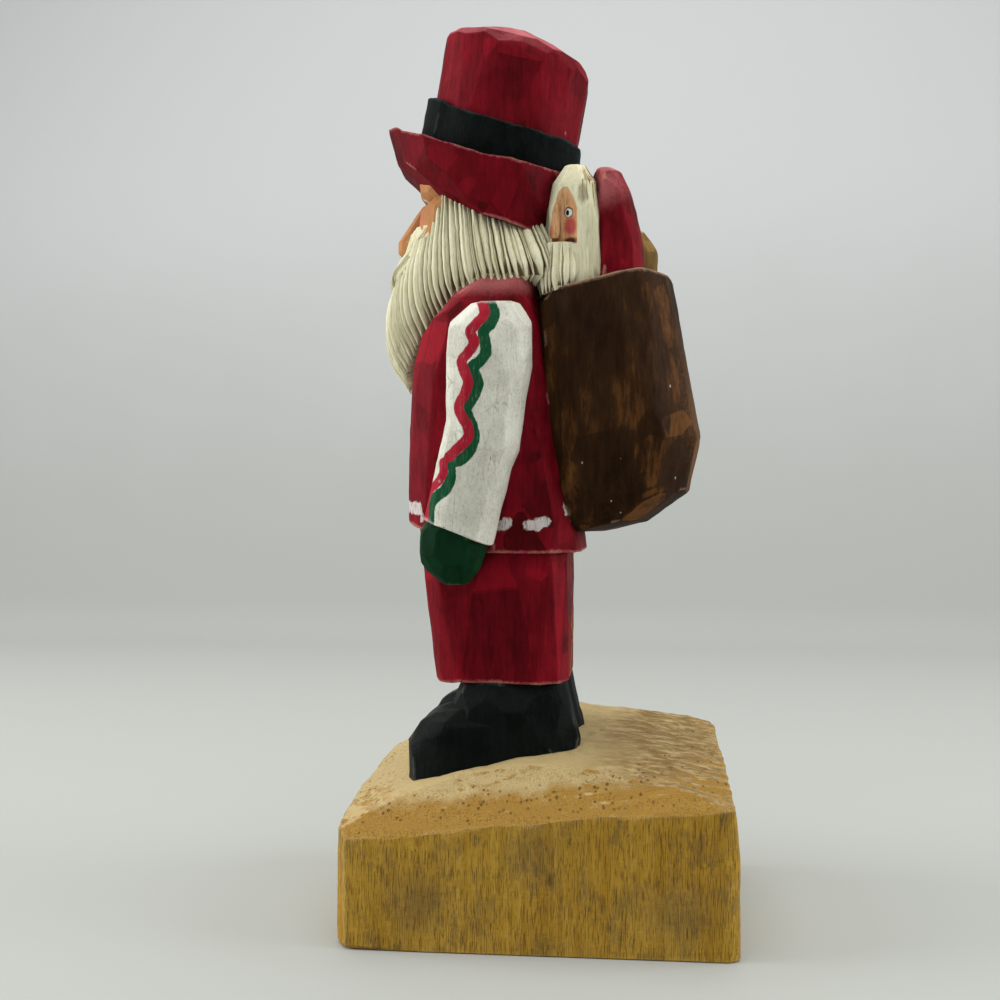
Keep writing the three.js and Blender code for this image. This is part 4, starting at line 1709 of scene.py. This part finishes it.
@dataclass(frozen=True)
class Painted:
    """Thin paint on knife-cut wood, worn on its edges, with dust and painted sheen on top and grime and
    painted shade in hollows.
    """

    deep: Colour
    fresh: Colour
    rubbed_and_sheen: Colour
    bare: Colour = (0.36, 0.22, 0.1)
    grime_and_shade: Colour = (0.012, 0.006, 0.004)
    flats: float = 0.5
    wear: float = 0.6
    chips: float = 0.5
    dust_and_sheen: float = 0.3
    dirt_and_shade: float = 0.75
    rough: float = 0.62
    grain: float = 0.5
    gloss: float = 0.05
    relief: float = 1.0
    dabs: tuple[Dab, ...] = ()

    def pigment(self, bench: Bench) -> Pigment:
        """The paint's own colour, before wear.

        Args:
            bench: The material's nodes.

        Returns:
            The colour.
        """
        cloud = bench.noise(14.0, 4.0, 0.6, shift=2.0)
        brush = bench.noise((1.6, 1.6, 11.0), 4.0, 0.62, shift=5.0)
        share = cloud * 0.55 + brush * 0.45 + bench.flat() * self.flats
        return bench.mix(share.ease(0.2, 0.85), self.deep, self.fresh)

    def dress(self, paint: Paint) -> None:
        """Makes the material of a paint.

        Args:
            paint: The paint.
        """
        bench = Bench(shop(paint))
        rim = bench.mark("rim")
        fine = bench.noise(0.9, 4.0, 0.65, shift=9.0)
        patch = bench.noise(6.0, 3.0, 0.6, shift=12.0)
        grain = bench.noise((0.4, 0.4, 6.0), 3.0, 0.6, shift=1.0)
        colour = self.pigment(bench)
        if self.dabs:
            colour = dot(bench, colour, self.dabs)
        colour = bench.mix((0.5 - grain).ease(0.0, 0.25) * self.grain * 0.6, colour, self.grime_and_shade)
        # Dust and painted sheen: faces that look up are paled towards the worn colour, standing in for the
        # top light.
        dust_and_sheen = bench.facing().ease(0.35, 0.95) * (patch * 1.3 + fine * 0.6 - 0.3).ease(0.2, 0.9)
        colour = bench.mix(dust_and_sheen * self.dust_and_sheen, colour, self.rubbed_and_sheen)
        rub = (1.15 - rim * 1.1 + (fine - 0.5) * 1.4 + (patch - 0.5) * 2.0).ease(0.35, 1.1)
        colour = bench.mix(rub * self.wear, colour, self.rubbed_and_sheen)
        chip = (1.0 - rim * 1.6 + (fine - 0.5) * 2.0 + (patch - 0.5) * 2.4).ease(0.86, 0.98)
        colour = bench.mix(chip * self.chips, colour, self.bare)
        # Grime and painted shade: points closed in by the form are darkened towards the grime colour.
        shut = bench.mark("cavity")
        dirt_and_shade = (shut * (0.6 + 0.8 * patch)).ease(0.14, 0.55) * self.dirt_and_shade
        colour = bench.mix(dirt_and_shade, colour, self.grime_and_shade)
        rough = (fine * 0.22 + patch * 0.12 + (self.rough - 0.17)) - rub * 0.06 + dirt_and_shade * 0.15
        normal = bench.raise_by(bench.noise(4.0, 2.0, 0.5, shift=30.0), 0.25 * self.relief, strength=0.5)
        normal = bench.raise_by(grain, 0.08 * self.relief, normal, 0.7)
        normal = bench.raise_by(fine, 0.1 * self.relief, normal, 0.7)
        bench.finish(colour, rough, normal, self.gloss)


@dataclass(frozen=True)
class SleevePaint(Painted):
    """White paint speckled grey, with two wavy lines."""

    red: Colour = (0.33, 0.01, 0.026)
    green: Colour = (0.004, 0.066, 0.025)
    speck: Colour = (0.3, 0.29, 0.25)
    crack: Colour = (0.2, 0.18, 0.13)

    def pigment(self, bench: Bench) -> Pigment:
        """White, speckled, cracked and trimmed.

        Args:
            bench: The material's nodes.

        Returns:
            The colour.
        """
        cloud = bench.noise(11.0, 4.0, 0.6, shift=2.0)
        colour = bench.mix((cloud + bench.flat() * self.flats).ease(0.3, 0.7), self.deep, self.fresh)
        speck = bench.noise((0.5, 0.5, 0.7), 4.0, 0.7, shift=3.0) + (cloud - 0.5) * 0.3
        colour = bench.mix(speck.ease(0.5, 0.34) * 0.45, colour, self.speck)
        web = bench.cells("DISTANCE_TO_EDGE", (4.5, 4.5, 8.0), shift=4.0)
        web += (bench.noise(1.5, 3.0, shift=6.0) - 0.5) * 0.1
        patch = bench.noise(10.0, 2.0, shift=8.0).ease(0.42, 0.62)
        colour = bench.mix(web.ease(0.035, 0.0) * patch * 0.5, colour, self.crack)
        wobble = (bench.noise(1.4, 3.0, 0.6, shift=14.0) - 0.5) * 0.45
        thin = bench.noise((0.7, 0.7, 3.0), 3.0, 0.6, shift=16.0).ease(0.25, 0.42)
        green = (bench.mark("green_trim") + wobble).ease(1.1, 0.9)
        colour = bench.mix(green * (0.15 * thin + 0.85), colour, self.green)
        red = (bench.mark("red_trim") + wobble).ease(1.1, 0.9)
        return bench.mix(red * (0.15 * thin + 0.85), colour, self.red)


@dataclass(frozen=True)
class CoatPaint(Painted):
    """Red with white dabs along the hem."""

    white: Colour = (0.56, 0.51, 0.49)

    def pigment(self, bench: Bench) -> Pigment:
        """The red and the dabs.

        Args:
            bench: The material's nodes.

        Returns:
            The colour.
        """
        colour = super().pigment(bench)
        ragged = (bench.noise((1.5, 1.5, 0.8), 4.0, 0.7, shift=15.0) - 0.5) * 1.2
        streak = bench.noise((0.6, 0.6, 2.2), 3.0, 0.6, shift=17.0).ease(0.34, 0.5)
        dab = (bench.mark("dab") + ragged).ease(1.15, 0.85)
        return bench.mix(dab * (0.35 + 0.65 * streak), colour, self.white)


@dataclass(frozen=True)
class HairPaint(Painted):
    """Cream paint, thin in the grooves and gone between the ends of the locks."""

    hollow: Colour = (0.26, 0.23, 0.12)
    ends: Colour = (0.12, 0.06, 0.028)

    def pigment(self, bench: Bench) -> Pigment:
        """Cream on the ridges, olive in the grooves and brown between the ends.

        Args:
            bench: The material's nodes.

        Returns:
            The colour.
        """
        colour = super().pigment(bench)
        groove = bench.mark("groove")
        patch = bench.noise(5.0, 3.0, 0.6, shift=6.0)
        hairs = bench.noise((0.35, 0.35, 5.0), 3.0, 0.6, shift=19.0)
        deep = (groove + (patch - 0.5) * 0.5 + (hairs - 0.5) * 0.5).ease(0.4, 1.05)
        colour = bench.mix(deep * 0.8, colour, self.hollow)
        _, y, _ = bench.axes()
        shoulder = y.ease(-36.0, -24.0)
        low = (bench.mark("fall") + (patch - 0.5) * 0.12 + groove * 0.24).ease(0.98, 1.08)
        return bench.mix(low * (0.3 + 0.6 * shoulder), colour, self.ends)


@dataclass(frozen=True)
class SackPaint(Painted):
    """Thin brown paint in long strokes, with orange wood showing through."""

    glow: Colour = (0.17, 0.066, 0.016)
    scratch: Colour = (0.5, 0.46, 0.4)

    def pigment(self, bench: Bench) -> Pigment:
        """Brown strokes, orange streaks and a few pale scratches.

        Args:
            bench: The material's nodes.

        Returns:
            The colour.
        """
        cloud = bench.noise((9.0, 9.0, 24.0), 4.0, 0.62, shift=2.0)
        brush = bench.noise((1.5, 1.5, 9.0), 5.0, 0.7, shift=5.0)
        share = cloud * 0.7 + brush * 0.4 + bench.flat() * self.flats
        colour = bench.mix(share.ease(0.3, 0.85), self.deep, self.fresh)
        show = (cloud * 0.9 + brush * 0.5 + bench.flat() * 0.4).ease(0.72, 1.0)
        colour = bench.mix(show * 0.7, colour, self.glow)
        nick = bench.cells("F1", (5.0, 5.0, 9.0), shift=23.0).ease(0.06, 0.03)
        return bench.mix(nick * 0.8, colour, self.scratch)


@dataclass(frozen=True)
class BareWood:
    """Oiled wood with open pores that run up the block, paler and torn on top; painted shade darkens the
    back of the top and the hollows.
    """

    side: Colour = (0.36, 0.19, 0.014)
    pale: Colour = (0.54, 0.33, 0.05)
    top: Colour = (0.52, 0.39, 0.18)
    back: Colour = (0.2, 0.11, 0.025)
    split: Colour = (0.36, 0.2, 0.035)
    pore_and_shade: Colour = (0.08, 0.036, 0.008)
    grey: Colour = (0.12, 0.085, 0.04)
    dark_from: float = 8.0
    dark_to: float = 30.0
    knots: tuple[Dab, ...] = (
        Dab((45, 4.3, 19.5), (4, 1.0, 1.5), (0.07, 0.04, 0.012), soft=0.7, both=False, cover=0.65),
        Dab((45, -30, 12), (6, 7, 6), (0.13, 0.09, 0.04), soft=0.9, both=False, cover=0.5),
        Dab((45, 0, 26), (6, 6, 6), (0.13, 0.09, 0.04), soft=0.9, both=False, cover=0.4),
        Dab((45, 36, 12), (6, 8, 6), (0.13, 0.09, 0.04), soft=0.9, both=False, cover=0.45),
    )

    def dress(self, paint: Paint) -> None:
        """Makes the material.

        Args:
            paint: The paint that it counts as.
        """
        bench = Bench(shop(paint))
        cloud = bench.noise((20.0, 20.0, 30.0), 4.0, 0.6, shift=2.0)
        strip = bench.noise((2.2, 2.2, 70.0), 3.0, 0.65, shift=4.0)
        colour = bench.mix((cloud * 0.55 + strip * 0.65 - 0.1).ease(0.3, 0.75), self.side, self.pale)
        patch = bench.noise((9.0, 9.0, 14.0), 3.0, 0.6, shift=9.0)
        mottle = bench.noise((2.2, 2.2, 5.0), 5.0, 0.75, shift=11.0) * 0.7 + patch * 0.55
        colour = bench.mix(mottle.ease(0.6, 0.76) * 0.45, colour, self.grey)
        colour = dot(bench, colour, self.knots)
        up = bench.facing()
        wavy = (bench.noise(6.0, 3.0, shift=5.0) - 0.5) * 0.12
        colour = bench.mix((up + wavy).ease(0.3, 0.6), colour, self.split)
        _, y, z = bench.axes()
        torn = bench.noise((1.6, 6.0, 1.6), 4.0, 0.65, shift=25.0)
        # The back of the top is darker, from torn fibres and from painted shade.
        behind = (y + (cloud - 0.5) * 30.0).ease(self.dark_from, self.dark_to) * torn.ease(0.72, 0.4)
        crown = bench.mix(behind * 0.85, self.top, self.back)
        slope = z - y * 0.1 + (bench.noise(9.0, 3.0, shift=27.0) - 0.5) * 9.0
        high = (slope.ease(38.0, 41.5) * up.ease(0.6, 0.7)).over(up.ease(0.86, 0.94))
        colour = bench.mix(high, colour, crown)
        dash = bench.noise((0.2, 0.2, 4.6), 2.0, 0.6, shift=7.0).ease(0.47, 0.36)
        colour = bench.mix(dash * (0.3 + 0.7 * patch) * (1 - 0.7 * up.ease(0.8, 0.95)), colour, self.pore_and_shade)
        belt = slope.ease(33.0, 37.0) * slope.ease(43.5, 41.0) * 0.85 + 0.15
        speck = bench.cells("F1", (1.7, 1.7, 4.0), shift=13.0).ease(0.3, 0.18)
        speck = speck * patch.ease(0.32, 0.5) * belt
        colour = bench.mix(speck * up.ease(0.3, 0.6) * 0.75, colour, self.pore_and_shade)
        fine = bench.noise(0.8, 4.0, 0.65, shift=15.0)
        rub = (1.0 - bench.mark("rim") * 0.9 + (fine - 0.5) * 1.2).ease(0.4, 1.1)
        colour = bench.mix(rub * 0.15, colour, self.top)
        # Painted shade: hollows are darkened towards the pore colour.
        colour = bench.mix(bench.mark("cavity").ease(0.12, 0.6) * 0.7, colour, self.pore_and_shade)
        rough = fine * 0.2 + dash * 0.15 + 0.55
        normal = bench.raise_by(bench.noise((5.0, 5.0, 16.0), 3.0, 0.5, shift=31.0), 0.35, strength=0.4)
        normal = bench.raise_by(torn, 0.6, normal, 0.5)
        normal = bench.raise_by(1 - dash, 0.14, normal, 0.8)
        normal = bench.raise_by(fine, 0.1, normal, 0.6)
        bench.finish(colour, rough, normal, 0.15)


@dataclass
class PaintBox:
    """Every finish on the figure."""

    santa_marks: tuple[Dab, ...] = (
        Dab((11.5, -35.6, 192.6), (4.4, 6.0, 4.0), (0.55, 0.17, 0.11), soft=0.5),
        Dab((7.6, -34.0, 198.6), (2.6, 5.0, 1.4), (0.62, 0.6, 0.52)),
        Dab((7.3, -34.4, 198.5), (1.1, 5.0, 1.2), (0.02, 0.015, 0.012)),
    )
    doll_marks: tuple[Dab, ...] = (
        Dab((24.0, 8.0, 188.4), (5.0, 1.7, 2.6), (0.45, 0.06, 0.06), soft=0.35, both=False, cover=0.9),
        Dab((24.0, 7.6, 192.2), (5.0, 1.2, 1.5), (0.03, 0.02, 0.012), both=False),
        Dab((24.0, 7.6, 192.1), (5.0, 1.0, 1.2), (0.7, 0.68, 0.6), both=False),
        Dab((24.0, 7.3, 192.1), (5.0, 0.5, 0.75), (0.01, 0.01, 0.01), both=False),
        # A dark spot at the mouth below the nose: a painted shadow.
        Dab((24.0, 8.0, 184.4), (5.0, 1.8, 1.1), (0.05, 0.02, 0.01), soft=0.4, both=False),
        Dab((24.0, 2.4, 187.0), (5.0, 1.0, 2.2), (0.3, 0.03, 0.03), soft=0.6, both=False, cover=0.8),
    )
    cloak_dust_and_sheen: tuple[Dab, ...] = (
        # A pale patch on top of the hood: dust and a painted sheen.
        Dab((20, 14, 199), (16, 7, 4.5), (0.45, 0.13, 0.13), soft=0.8, cover=0.75),
    )
    sack_wear_and_light: tuple[Dab, ...] = (
        # Paler brown on the back of the sack: worn paint and a painted highlight.
        Dab((12, 58, 152), (34, 18, 46), (0.17, 0.08, 0.03), soft=0.25, cover=0.7),
        Dab((12, 51, 128), (34, 5, 24), (0.15, 0.068, 0.024), soft=0.4, cover=0.7),
    )
    shoulder_sheen_and_blotch: tuple[Dab, ...] = (
        # A pale patch on top of the shoulder, dust and a painted sheen, then an ochre blotch.
        Dab((25, -12, 174), (9, 15, 3.4), (0.46, 0.15, 0.14), soft=0.7, cover=0.6),
        Dab((26.0, -1.4, 175.5), (4.0, 1.7, 1.1), (0.34, 0.2, 0.07), soft=0.3),
    )

    def dress(self) -> None:
        """Makes every material."""
        red = {
            "deep": (0.06, 0.001, 0.0025), "fresh": (0.27, 0.005, 0.015), "rubbed_and_sheen": (0.45, 0.12, 0.13),
            "grime_and_shade": (0.012, 0.0015, 0.002),
        }
        soot_and_shade = (0.001, 0.001, 0.001)
        finishes = {
            Paint.BARE: BareWood(),
            Paint.BOOT: Painted(
                (0.0015, 0.0025, 0.002), (0.006, 0.009, 0.0075), (0.07, 0.075, 0.065), wear=0.35, chips=0.1,
                rough=0.5, relief=2.5, grime_and_shade=soot_and_shade,
            ),
            Paint.TROUSER: Painted(**red, wear=0.5),
            Paint.COAT: CoatPaint(**red, dust_and_sheen=0.8, dabs=self.shoulder_sheen_and_blotch),
            Paint.SLEEVE: SleevePaint(
                (0.55, 0.54, 0.45), (0.68, 0.67, 0.58), (0.74, 0.73, 0.66), flats=0.25, wear=0.3, chips=0.3,
                dust_and_sheen=0.1, relief=1.6, grime_and_shade=(0.16, 0.13, 0.09),
            ),
            Paint.MITTEN: Painted(
                (0.0016, 0.016, 0.005), (0.0035, 0.034, 0.012), (0.03, 0.1, 0.05), wear=0.3, chips=0.1,
                dust_and_sheen=0.15, grime_and_shade=(0.001, 0.003, 0.0015),
            ),
            Paint.SACK: SackPaint(
                (0.014, 0.0055, 0.0018), (0.055, 0.023, 0.0075), (0.26, 0.16, 0.11), wear=0.55, chips=0.3,
                dust_and_sheen=0.5, flats=0.12, grime_and_shade=(0.004, 0.002, 0.001), dabs=self.sack_wear_and_light,
            ),
            Paint.CREAM: HairPaint(
                (0.62, 0.58, 0.37), (0.8, 0.77, 0.57), (0.8, 0.78, 0.62), flats=0.3, wear=0.0, chips=0.0,
                dust_and_sheen=0.0, dirt_and_shade=0.5, rough=0.7, grime_and_shade=(0.1, 0.07, 0.035),
            ),
            Paint.FLESH: Painted(
                (0.4, 0.17, 0.06), (0.52, 0.26, 0.11), (0.56, 0.32, 0.18), flats=0.4, wear=0.2, chips=0.05,
                dust_and_sheen=0.1, grime_and_shade=(0.13, 0.05, 0.02), dabs=self.santa_marks,
            ),
            Paint.CROWN: Painted(**red, dust_and_sheen=1.0, flats=0.35),
            Paint.BAND: Painted(
                (0.001, 0.0018, 0.0016), (0.006, 0.0105, 0.009), (0.07, 0.09, 0.08), wear=0.25, chips=0.0,
                dust_and_sheen=0.1, gloss=0.03, rough=0.55, relief=3.0, grime_and_shade=soot_and_shade,
            ),
            Paint.BRIM: Painted(**(red | {"fresh": (0.2, 0.003, 0.01)}), dust_and_sheen=0.35),
            Paint.DOLL_FACE: Painted(
                (0.56, 0.29, 0.13), (0.74, 0.44, 0.23), (0.7, 0.46, 0.28), flats=0.4, wear=0.2, chips=0.0,
                grain=1.0, relief=1.5, grime_and_shade=(0.09, 0.035, 0.012), dabs=self.doll_marks,
            ),
            Paint.CLOAK: Painted(**red, dust_and_sheen=1.0, dabs=self.cloak_dust_and_sheen),
            Paint.OCHRE: Painted((0.1, 0.055, 0.014), (0.24, 0.14, 0.04), (0.4, 0.3, 0.14)),
            Paint.PARCEL: Painted((0.004, 0.03, 0.016), (0.012, 0.07, 0.035), (0.08, 0.18, 0.1)),
        }
        for paint, finish in finishes.items():
            finish.dress(paint)


@dataclass
class Studio:
    """Pale floor and sweep, soft lights and the camera."""

    azimuth: float = 96.0
    distance: float = 372.0
    slide: float = -13.2
    eye: float = 115.0
    lens: float = 46.8
    floor: Colour = (0.39, 0.4, 0.37)
    wall_low_shaded: Colour = (0.35, 0.36, 0.335)
    wall_high_lit: Colour = (0.5, 0.51, 0.505)
    lamps: tuple[tuple[str, tuple[float, float, float], tuple[float, float], float], ...] = (
        ("top", (0.05, 0.0, 1.1), (1.0, 1.4), 13), ("front_side", (0.1, -1.1, 0.45), (0.8, 0.8), 12),
        ("back_side", (0.0, 1.1, 0.45), (0.8, 0.8), 9),
    )
    aim: tuple[float, float, float] = (0.0, 0.0, 0.12)
    sky: Colour = (0.93, 0.97, 1.0)
    sky_strength: float = 0.37

    def sweep(self) -> None:
        """A sheet of paper that lies under the figure and curves up behind it, with painted shade low on
        its wall and painted light high up.
        """
        bm = bmesh.new()
        bmesh.ops.create_grid(bm, x_segments=2, y_segments=2, size=1)
        bmesh.ops.scale(bm, vec=(1.3, 2.4, 1), verts=bm.verts[:])
        bmesh.ops.translate(bm, vec=(0.66, 0, 0), verts=bm.verts[:])
        back = [edge for edge in bm.edges if all(vert.co.x < -0.6 for vert in edge.verts)]
        bmesh.ops.spin(
            bm, geom=back, cent=(-0.64, 0, 0.36), axis=(0, 1, 0), angle=math.radians(84), steps=24,
            dvec=(0, 0, 0), use_duplicate=False,
        )
        far = max(vert.co.z for vert in bm.verts)
        crest = [edge for edge in bm.edges if all(vert.co.z > far - 1e-5 for vert in edge.verts)]
        grown = bmesh.ops.extrude_edge_only(bm, edges=crest)
        rise = [vert for vert in grown["geom"] if isinstance(vert, bmesh.types.BMVert)]
        bmesh.ops.translate(bm, vec=(-0.15, 0, 1.6), verts=rise)
        bmesh.ops.recalc_face_normals(bm, faces=bm.faces[:])
        for face in bm.faces:
            face.smooth = True
        material = bpy.data.materials.new("paper")
        bench = Bench(material)
        _, _, z = bench.axes()
        cloud = (bench.noise(120.0, 2.0, shift=1.0) - 0.5) * 60.0
        # Painted shade and light: the wall darkens towards the floor and pales upwards.
        wall = bench.mix((z + cloud).ease(40.0, 480.0), self.wall_low_shaded, self.wall_high_lit)
        bench.finish(bench.mix((z + cloud * 0.1).ease(0.0, 30.0), self.floor, wall), 0.8, None, 0.15)
        stand("paper", bm, [material])

    def lamp(
        self, name: str, place: tuple[float, float, float], size: tuple[float, float], power: float
    ) -> None:
        """Hangs one soft box.

        Args:
            name: What it is called.
            place: Where it hangs, in metres.
            size: Its width and height.
            power: Its watts.
        """
        data = bpy.data.lights.new(name, "AREA")
        data.shape = "RECTANGLE"
        data.size, data.size_y = size
        data.energy = power
        lamp = bpy.data.objects.new(name, data)
        lamp.location = place
        lamp.rotation_euler = (Vector(self.aim) - Vector(place)).to_track_quat("-Z", "Y").to_euler()
        bpy.context.scene.collection.objects.link(lamp)

    def camera(self) -> None:
        """Sets the camera where the photograph was taken from."""
        turn = math.radians(self.azimuth - 90)
        right = Vector((-math.sin(turn), math.cos(turn), 0))
        ahead = Vector((-math.cos(turn), -math.sin(turn), 0))
        data = bpy.data.cameras.new("camera")
        data.lens = self.lens
        data.sensor_width = 36
        data.clip_start = 0.01
        camera = bpy.data.objects.new("camera", data)
        camera.location = (-ahead * self.distance + right * self.slide + Vector((0, 0, self.eye))) * MM
        camera.rotation_euler = ahead.to_track_quat("-Z", "Y").to_euler()
        bpy.context.scene.collection.objects.link(camera)
        bpy.context.scene.camera = camera

    def build(self) -> None:
        """Sets up the whole studio."""
        self.camera()
        self.sweep()
        for lamp in self.lamps:
            self.lamp(*lamp)
        world = bpy.data.worlds.new("room")
        bpy.context.scene.world = world
        world.use_nodes = True
        sky = world.node_tree.nodes["Background"].inputs
        sky["Color"].default_value = (*self.sky, 1)
        sky["Strength"].default_value = self.sky_strength
        bpy.context.scene.view_settings.view_transform = "Standard"


def main() -> None:
    """Carves, joins, paints and lights the figure."""
    logging.basicConfig(level=logging.INFO, format="%(name)s: %(message)s")
    Studio().build()
    whole = Foot().carve()
    for form in (Legs(), Coat(), Sack(), Toys(), Head(), Hat()):
        for part in form.carve():
            whole.work(Cut.JOIN, part.turn(Matrix.Translation((0, 0, CREST))))
        LOG.info("%s: %d faces in all", type(form).__name__, len(whole.bm.faces))
    figure = Skin().lay(whole)
    LOG.info("%s: %d triangles", figure.name, len(figure.data.polygons))
    PaintBox().dress()
    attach(figure, "root")
    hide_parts(NODE)
    bpy.context.view_layer.update()


if __name__ == "__main__":
    main()
